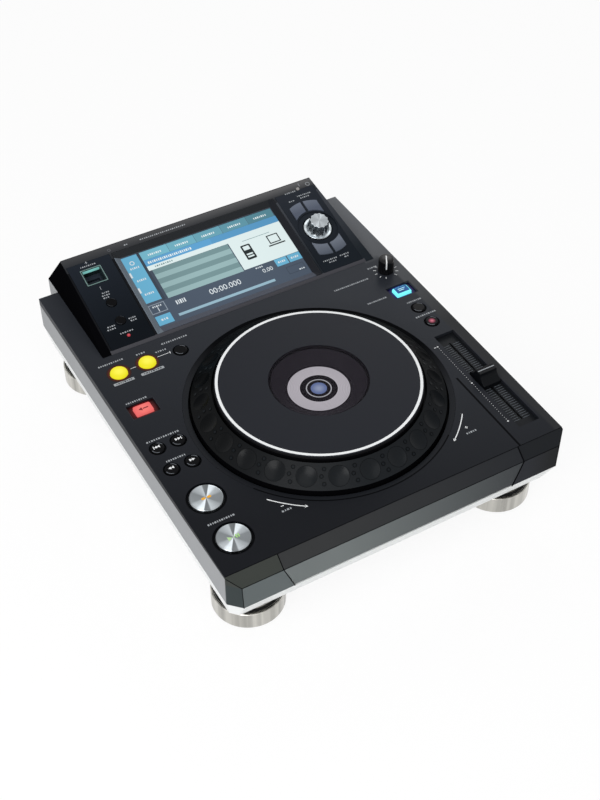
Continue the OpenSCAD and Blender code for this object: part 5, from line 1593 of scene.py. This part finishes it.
def turn_arrow(first, last):
    """A thin arc round the jog wheel with an arrow head at its last angle."""
    sense = 1.0 if last > first else -1.0
    tip = radians(last + sense * 0.8)
    head = (JOG_CENTRE[0] + ARROW_RADIUS * cos(tip), JOG_CENTRE[1] + ARROW_RADIUS * sin(tip))
    arc = arc_band(ARROW_RADIUS, 0.8, min(first, last), max(first, last), JOG_CENTRE)
    return [arc, arrow_head(head, last + sense * 90.0, 2.4)]


def knob_ticks(inner, outer, first, last, count):
    """Short radial lines round the speed knob at equal steps of angle: one line turned to each angle."""
    line = slab(oblong((inner, -TICK_HALF), (outer, TICK_HALF)), 0.0, INK)
    return repeated(line, turned_frames(np.linspace(first, last, count), (*KNOB_AT, 0.0)))


def scale_frames(x, z):
    """A frame beside each row of the fader's scale."""
    return upright([(x, y, z) for y in SCALE_ROWS])


def build_prints(scene):
    """Thin lines, arrows, dots and small print on the deck."""
    ink, grey = white_ink(scene), grey_ink()
    prints = Piece("deck_print", "case", DECK, "case_black")
    for angles in TURN_ARROWS:
        prints.add_flat(turn_arrow(*angles), 0.0, ink)
    prints.add_flat([oblong(*corners) for corners in DECK_LINES], 0.0, ink)
    prints.add_flat([circle(LARGE_DOT, (SCALE_X, y), 16) for y in SCALE_DOTS], 0.0, ink)
    prints.add(knob_ticks(*KNOB_TICKS), ink)
    prints.add(repeated(slab(circle(SMALL_DOT, count=8), 0.0, INK), scale_frames(SCALE_X, 0.0)), ink)
    for centre, width in DECK_LABELS:
        prints.add(small_print(centre, width, 1.7), grey)
    for centre, bar, width in LOOP_BARS:
        prints.add_flat([rounded(bar, 3.0, 0.4, centre)], 0.0, grey)
        prints.add(small_print(centre, width, 1.1, INK), dark_line())
    prints.build()


# The tempo fader and the speed knob


FADER_AT = (133.3, 78.8)
FADER_PLATE_TOP = -4.0
FADER_CAP_TOP = 9.0
# Sides of the slot with scale lines, a scale line, and the line on the cap, about the fader's middle
SCALE_SIDES = (-5.0, 5.0)
SCALE_MARK = ((-3.2, -0.13), (3.2, 0.13))
CAP_LINE = ((-8.0, -0.2), (8.0, 0.7))


def build_fader():
    """Scale lines on both sides of the slot, and the pale line on the cap's ridge."""
    pale = print_ink("scale_ink", linear(114, 121, 128), 0.08)
    scale = Piece("fader_scale", "case", DECK, "fader_grey")
    mark = slab(oblong(*SCALE_MARK), 0.0, INK)
    for side in SCALE_SIDES:
        scale.add(repeated(mark, scale_frames(FADER_AT[0] + side, FADER_PLATE_TOP)), pale)
    scale.build()
    line = [oblong(*CAP_LINE) + np.array(FADER_AT)]
    flat_piece("fader_cap_line", "tempo_fader", DECK, "cap_black", line, FADER_CAP_TOP, grey_ink())


KNOB_RIBS, RIB_STEPS, RIB_SHARPNESS = 26, 8, 3.0
KNOB_AIM = 240.2
# Profile of the speed knob from its foot up: radius, height, depth of the grooves between ribs
KNOB_PROFILE = [
    (3.0, -5.1, 0.0), (3.0, 0.3, 0.0), (7.0, 0.4, 0.0), (7.2, 0.9, 0.34), (6.98, 12.2, 0.32),
    (6.92, 12.8, 0.0), (6.85, 13.5, 0.0), (6.5, 14.1, 0.0), (6.0, 14.35, 0.0), (1.2, 14.4, 0.0),
]
# The pointer: half its width, how far it rises over the path and sinks under it, and the path as reach from
# the knob's middle and height
POINTER_HALF, POINTER_RISE, POINTER_SINK = 0.55, 0.08, -0.3
POINTER_PATH = [(-3.6, 14.4), (5.9, 14.36), (6.55, 14.05), (6.85, 13.5), (6.98, 12.2), (7.06, 7.0)]


def knob_pointer():
    """A narrow bar carried along the pointer's path: over the knob's top, over its edge and down its side."""
    reach, height = np.array(POINTER_PATH).T
    aim = np.array([cos(radians(KNOB_AIM)), sin(radians(KNOB_AIM))])
    side = np.array([-aim[1], aim[0]]) * POINTER_HALF
    out = np.gradient(height, edge_order=1), -np.gradient(reach, edge_order=1)
    size = np.hypot(*out)
    lean, lift = -out[0] / size, -out[1] / size
    rows = []
    upper, lower = POINTER_RISE, POINTER_SINK
    for level, across in [(upper, -1.0), (upper, 1.0), (lower, 1.0), (lower, -1.0)]:
        flat = np.array(KNOB_AT) + (reach + level * lean)[:, None] * aim + across * side
        rows.append(np.column_stack([flat, height + level * lift]))
    return loft(np.stack(rows, axis=1))


def build_knob(scene):
    """The speed knob with its ribs and its white pointer, over the top and down the side."""
    black = grained("knob_black", linear(13, 13, 15), 0.3, 2200.0, 0.06, 0.06, specular=0.16)
    knob = Piece("speed_knob", "speed_knob", DECK, "cap_black")
    radius, height, depth = np.array(KNOB_PROFILE).T
    angle = np.linspace(0.0, 2.0 * pi, KNOB_RIBS * RIB_STEPS, endpoint=False)
    wave = 0.5 - 0.5 * np.tanh(RIB_SHARPNESS * np.cos(KNOB_RIBS * angle))
    knob.add(loft(waved(radius, height, depth, wave, KNOB_AT)), black)
    knob.add(knob_pointer(), white_ink(scene))
    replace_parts(knob.build(), "vinyl_speed_knob")


# Rear sockets: x to the left as seen from behind, y up, z out of the rear


JACKS_X = (96.0, 80.0, 58.0)
JACK_HEIGHT = 58.5
JACK_END = 193.45
PANEL_FACE = 186.45
LAN_X = 22.0
LAN_BACK = 176.0
SWITCH_X = -104.0
REAR_SCREWS_X = (124.0, 40.0, -30.0, -124.0)
# Collars in the jacks and rings round them, as inner and outer radius
JACK_COLLAR, JACK_RING = (1.7, 3.3), (5.2, 6.2)
JACK_TONES = {"white": linear(225, 225, 222), "red": linear(190, 40, 40), "orange": linear(220, 120, 40)}
# Contacts of the network jack: how many, half their row, and height over the jacks' middles
LAN_CONTACTS, LAN_HALF, LAN_RISE = 8, 4.0, 3.2
SCREW_RISE = 16.0
# Profile of a panel screw with its socket: radius, and height over the panel
SCREW_PROFILE = [(2.6, 0.0), (2.6, 0.7), (2.2, 1.1), (1.3, 1.2), (1.2, 0.4), (0.2, 0.4)]


def build_rear(scene):
    """Coloured collars of the audio jacks, network contacts, marks of the power switch and panel screws."""
    rear = Piece("rear_details", "case", REAR, "socket_metal")
    for x, (name, tone) in zip(JACKS_X, JACK_TONES.items()):
        collar = grained(f"jack_{name}", tone, 0.4, 900.0, 0.05, 0.03)
        rear.add(ring_slab(*JACK_COLLAR, JACK_END, JACK_END + 0.3, (x, JACK_HEIGHT), 40), collar)
        rear.add(ring_slab(*JACK_RING, PANEL_FACE, PANEL_FACE + INK, (x, JACK_HEIGHT), 40), grey_ink())
    gold = brushed("contact_gold", linear(212, 176, 96), 0.3, (60.0, 900.0, 60.0))
    contact = slab(oblong((-0.3, -0.5), (0.3, 0.5)), LAN_BACK, PANEL_FACE - 1.0)
    row = np.linspace(LAN_X - LAN_HALF, LAN_X + LAN_HALF, LAN_CONTACTS)
    places = [(x, JACK_HEIGHT + LAN_RISE, 0.0) for x in row]
    rear.add(repeated(contact, upright(places)), gold)
    marks = [oblong((SWITCH_X - 0.3, JACK_HEIGHT + 8.0), (SWITCH_X + 0.3, JACK_HEIGHT + 11.0))]
    marks.append(arc_band(1.5, 0.5, 0.0, 359.0, (SWITCH_X, JACK_HEIGHT - 9.5), 32))
    rear.add_flat(marks, PANEL_FACE, white_ink(scene))
    steel = brushed("panel_screw", linear(70, 71, 74), 0.35, (900.0, 80.0, 80.0))
    screw = np.array(SCREW_PROFILE) + [0.0, PANEL_FACE]
    for x in REAR_SCREWS_X:
        rear.add(loft(turned(screw, (x, JACK_HEIGHT + SCREW_RISE), 24)), steel)
    rear.build()


# The studio


CAMERA_AT = (-0.406631, -0.735463, 0.868224)
CAMERA_AZIMUTH = 0.520892533
CAMERA_ELEVATION = 0.783166606
CAMERA_ROLL = 0.00175755
CAMERA_FOCUS = 60.9111
SENSOR = 36.0
FLOOR_WHITE = 0.88
# Lamps: size, place and aim in metres
LAMPS = {
    "key": (0.9, (-1.1, -0.9, 1.0), (0.0, -0.05, 0.06)),
    "top": (1.4, (-0.35, -0.5, 1.7), (0.0, 0.0, 0.08)),
    "back": (0.8, (1.35, 1.75, 1.5), (0.1, 0.1, 0.09)),
}


def camera_matrix():
    """Looks along the azimuth from +Y towards +X, down by the elevation, turned by the roll."""
    flat = cos(CAMERA_ELEVATION)
    along = Vector((sin(CAMERA_AZIMUTH) * flat, cos(CAMERA_AZIMUTH) * flat, -sin(CAMERA_ELEVATION)))
    right = along.cross(Vector((0.0, 0.0, 1.0))).normalized()
    up = right.cross(along)
    turned_right = right * cos(CAMERA_ROLL) + up * sin(CAMERA_ROLL)
    turned_up = up * cos(CAMERA_ROLL) - right * sin(CAMERA_ROLL)
    matrix = Matrix((turned_right, turned_up, -along)).transposed().to_4x4()
    matrix.translation = CAMERA_AT
    return matrix


def add_camera(scene):
    """The photograph's camera, with the sensor along the frame's height; the upright 600 x 800 frame is not
    set here.
    """
    lens = bpy.data.cameras.new("camera")
    lens.sensor_fit, lens.sensor_height, lens.lens = "VERTICAL", SENSOR, CAMERA_FOCUS
    camera = bpy.data.objects.new("camera", lens)
    scene.collection.objects.link(camera)
    camera.matrix_world = camera_matrix()
    scene.camera = camera


def add_lamp(scene, name, watts, size, at, aim):
    """A square soft light aimed at a point."""
    lamp = bpy.data.lights.new(name, "AREA")
    lamp.energy, lamp.size = watts, size
    holder = bpy.data.objects.new(name, lamp)
    scene.collection.objects.link(holder)
    holder.location = at
    holder.rotation_euler = (Vector(aim) - Vector(at)).to_track_quat("-Z", "Y").to_euler()


def shows_background(tree):
    """1 for rays from the camera, from gloss and through glass, else 0."""
    path = add(tree, "ShaderNodeLightPath").outputs
    either = reckon(tree, "MAXIMUM", path["Is Camera Ray"], path["Is Glossy Ray"])
    return reckon(tree, "MAXIMUM", either, path["Is Transmission Ray"])


def add_world(scene, level):
    """White where it is seen, an even lower level where it lights."""
    world = bpy.data.worlds.new("studio")
    world.use_nodes = True
    tree = world.node_tree
    ground = tree.nodes["Background"]
    ground.inputs["Color"].default_value = (1.0, 1.0, 1.0, 1.0)
    tree.links.new(spread(tree, shows_background(tree), level, 1.0), ground.inputs["Strength"])
    scene.world = world


def floor_paper(colour):
    """Pale paper, mostly its own white where it is seen, so that it stays pale and keeps a soft shadow."""
    material, tree, shader = new_material("floor_paper", {"specular": 0.0})
    shader.inputs["Base Color"].default_value = opaque(colour)
    shader.inputs["Roughness"].default_value = 0.9
    white = add(tree, "ShaderNodeEmission", {"Color": (1.0, 1.0, 1.0, 1.0), "Strength": 1.0})
    share = reckon(tree, "MULTIPLY", shows_background(tree), FLOOR_WHITE)
    mix = add(tree, "ShaderNodeMixShader", {0: share, 1: shader.outputs[0], 2: white.outputs[0]})
    tree.links.new(mix.outputs[0], tree.nodes["Material Output"].inputs["Surface"])
    return material


def add_floor(scene, studio):
    """A pale square floor round the origin."""
    half = studio.floor_size / 2
    corners = np.column_stack([oblong((-half, -half), (half, half)), np.zeros(4)])
    mesh = bpy.data.meshes.new("floor")
    mesh.from_pydata(corners.tolist(), [], [[0, 1, 2, 3]])
    mesh.materials.append(floor_paper(studio.floor))
    floor = bpy.data.objects.new("floor", mesh)
    scene.collection.objects.link(floor)


def build_stage(scene):
    """Floor, even world, soft key light at the front left, wide light overhead and one at the back right."""
    studio = scene.studio_settings
    scene.view_settings.view_transform = "Standard"
    add_camera(scene)
    add_world(scene, studio.world_level)
    add_floor(scene, studio)
    for name, lamp in LAMPS.items():
        add_lamp(scene, f"{name}_light", getattr(studio, f"{name}_power"), *lamp)


# The add-on


class PLAYER_OT_case(bpy.types.Operator):
    """Gives the CAD nodes their finishes and soft edges, and the front its shadow lines"""

    bl_idname = "player.case"
    bl_label = "Case"

    def execute(self, context):
        finish_nodes(context.scene)
        return {"FINISHED"}


class PLAYER_OT_jog(bpy.types.Operator):
    """Adds the marks, grip dots and label of the jog wheel"""

    bl_idname = "player.jog"
    bl_label = "Jog wheel"

    def execute(self, context):
        build_jog(context.scene)
        return {"FINISHED"}


class PLAYER_OT_housing(bpy.types.Operator):
    """Adds the memory slot's light and the marks on the display housing"""

    bl_idname = "player.housing"
    bl_label = "Display housing"

    def execute(self, context):
        build_memory_slot(context.scene)
        build_housing_marks(context.scene)
        return {"FINISHED"}


class PLAYER_OT_screen(bpy.types.Operator):
    """Adds the picture on the touch screen"""

    bl_idname = "player.screen"
    bl_label = "Screen"

    def execute(self, context):
        build_screen(context.scene)
        return {"FINISHED"}


class PLAYER_OT_selector(bpy.types.Operator):
    """Replaces the selector knob by its fluted shape"""

    bl_idname = "player.selector"
    bl_label = "Selector"

    def execute(self, context):
        build_selector(context.scene)
        return {"FINISHED"}


class PLAYER_OT_keys(bpy.types.Operator):
    """Adds the turned discs, the lit keys and the keys' signs"""

    bl_idname = "player.keys"
    bl_label = "Keys"

    def execute(self, context):
        build_keys(context.scene)
        return {"FINISHED"}


class PLAYER_OT_prints(bpy.types.Operator):
    """Adds the lines, dots and small print on the deck"""

    bl_idname = "player.prints"
    bl_label = "Prints"

    def execute(self, context):
        build_prints(context.scene)
        return {"FINISHED"}


class PLAYER_OT_fader(bpy.types.Operator):
    """Adds the scale and the cap's line of the tempo fader"""

    bl_idname = "player.fader"
    bl_label = "Tempo fader"

    def execute(self, context):
        build_fader()
        return {"FINISHED"}


class PLAYER_OT_knob(bpy.types.Operator):
    """Replaces the speed knob by its ribbed shape"""

    bl_idname = "player.knob"
    bl_label = "Speed knob"

    def execute(self, context):
        build_knob(context.scene)
        return {"FINISHED"}


class PLAYER_OT_rear(bpy.types.Operator):
    """Adds the details of the rear sockets"""

    bl_idname = "player.rear"
    bl_label = "Rear"

    def execute(self, context):
        build_rear(context.scene)
        return {"FINISHED"}


class PLAYER_OT_stage(bpy.types.Operator):
    """Adds the camera, the floor and the lights"""

    bl_idname = "player.stage"
    bl_label = "Stage"

    def execute(self, context):
        build_stage(context.scene)
        return {"FINISHED"}


OPERATORS = [
    PLAYER_OT_case,
    PLAYER_OT_jog,
    PLAYER_OT_housing,
    PLAYER_OT_screen,
    PLAYER_OT_selector,
    PLAYER_OT_keys,
    PLAYER_OT_prints,
    PLAYER_OT_fader,
    PLAYER_OT_knob,
    PLAYER_OT_rear,
    PLAYER_OT_stage,
]


class PLAYER_PT_pieces(bpy.types.Panel):
    """Lists the operators that dress the player"""

    bl_label = "Media player"
    bl_idname = "PLAYER_PT_pieces"
    bl_space_type = "VIEW_3D"
    bl_region_type = "UI"
    bl_category = "Player"

    def draw(self, context):
        for operator in OPERATORS:
            self.layout.operator(operator.bl_idname)


SETTINGS = {
    "case_colours": CaseColours,
    "lit_colours": LitColours,
    "screen_colours": ScreenColours,
    "studio_settings": StudioSettings,
}
CLASSES = [*SETTINGS.values(), *OPERATORS, PLAYER_PT_pieces]


def register():
    """Adds the classes and hangs the settings on the scene."""
    for kind in CLASSES:
        bpy.utils.register_class(kind)
    for name, kind in SETTINGS.items():
        setattr(bpy.types.Scene, name, bpy.props.PointerProperty(type=kind))


def unregister():
    """Takes the settings and the classes away."""
    for name in SETTINGS:
        delattr(bpy.types.Scene, name)
    for kind in reversed(CLASSES):
        bpy.utils.unregister_class(kind)


def main():
    """Dresses the player."""
    register()
    for operator in OPERATORS:
        getattr(bpy.ops.player, operator.bl_idname.split(".")[1])()


if __name__ == "__main__":
    main()
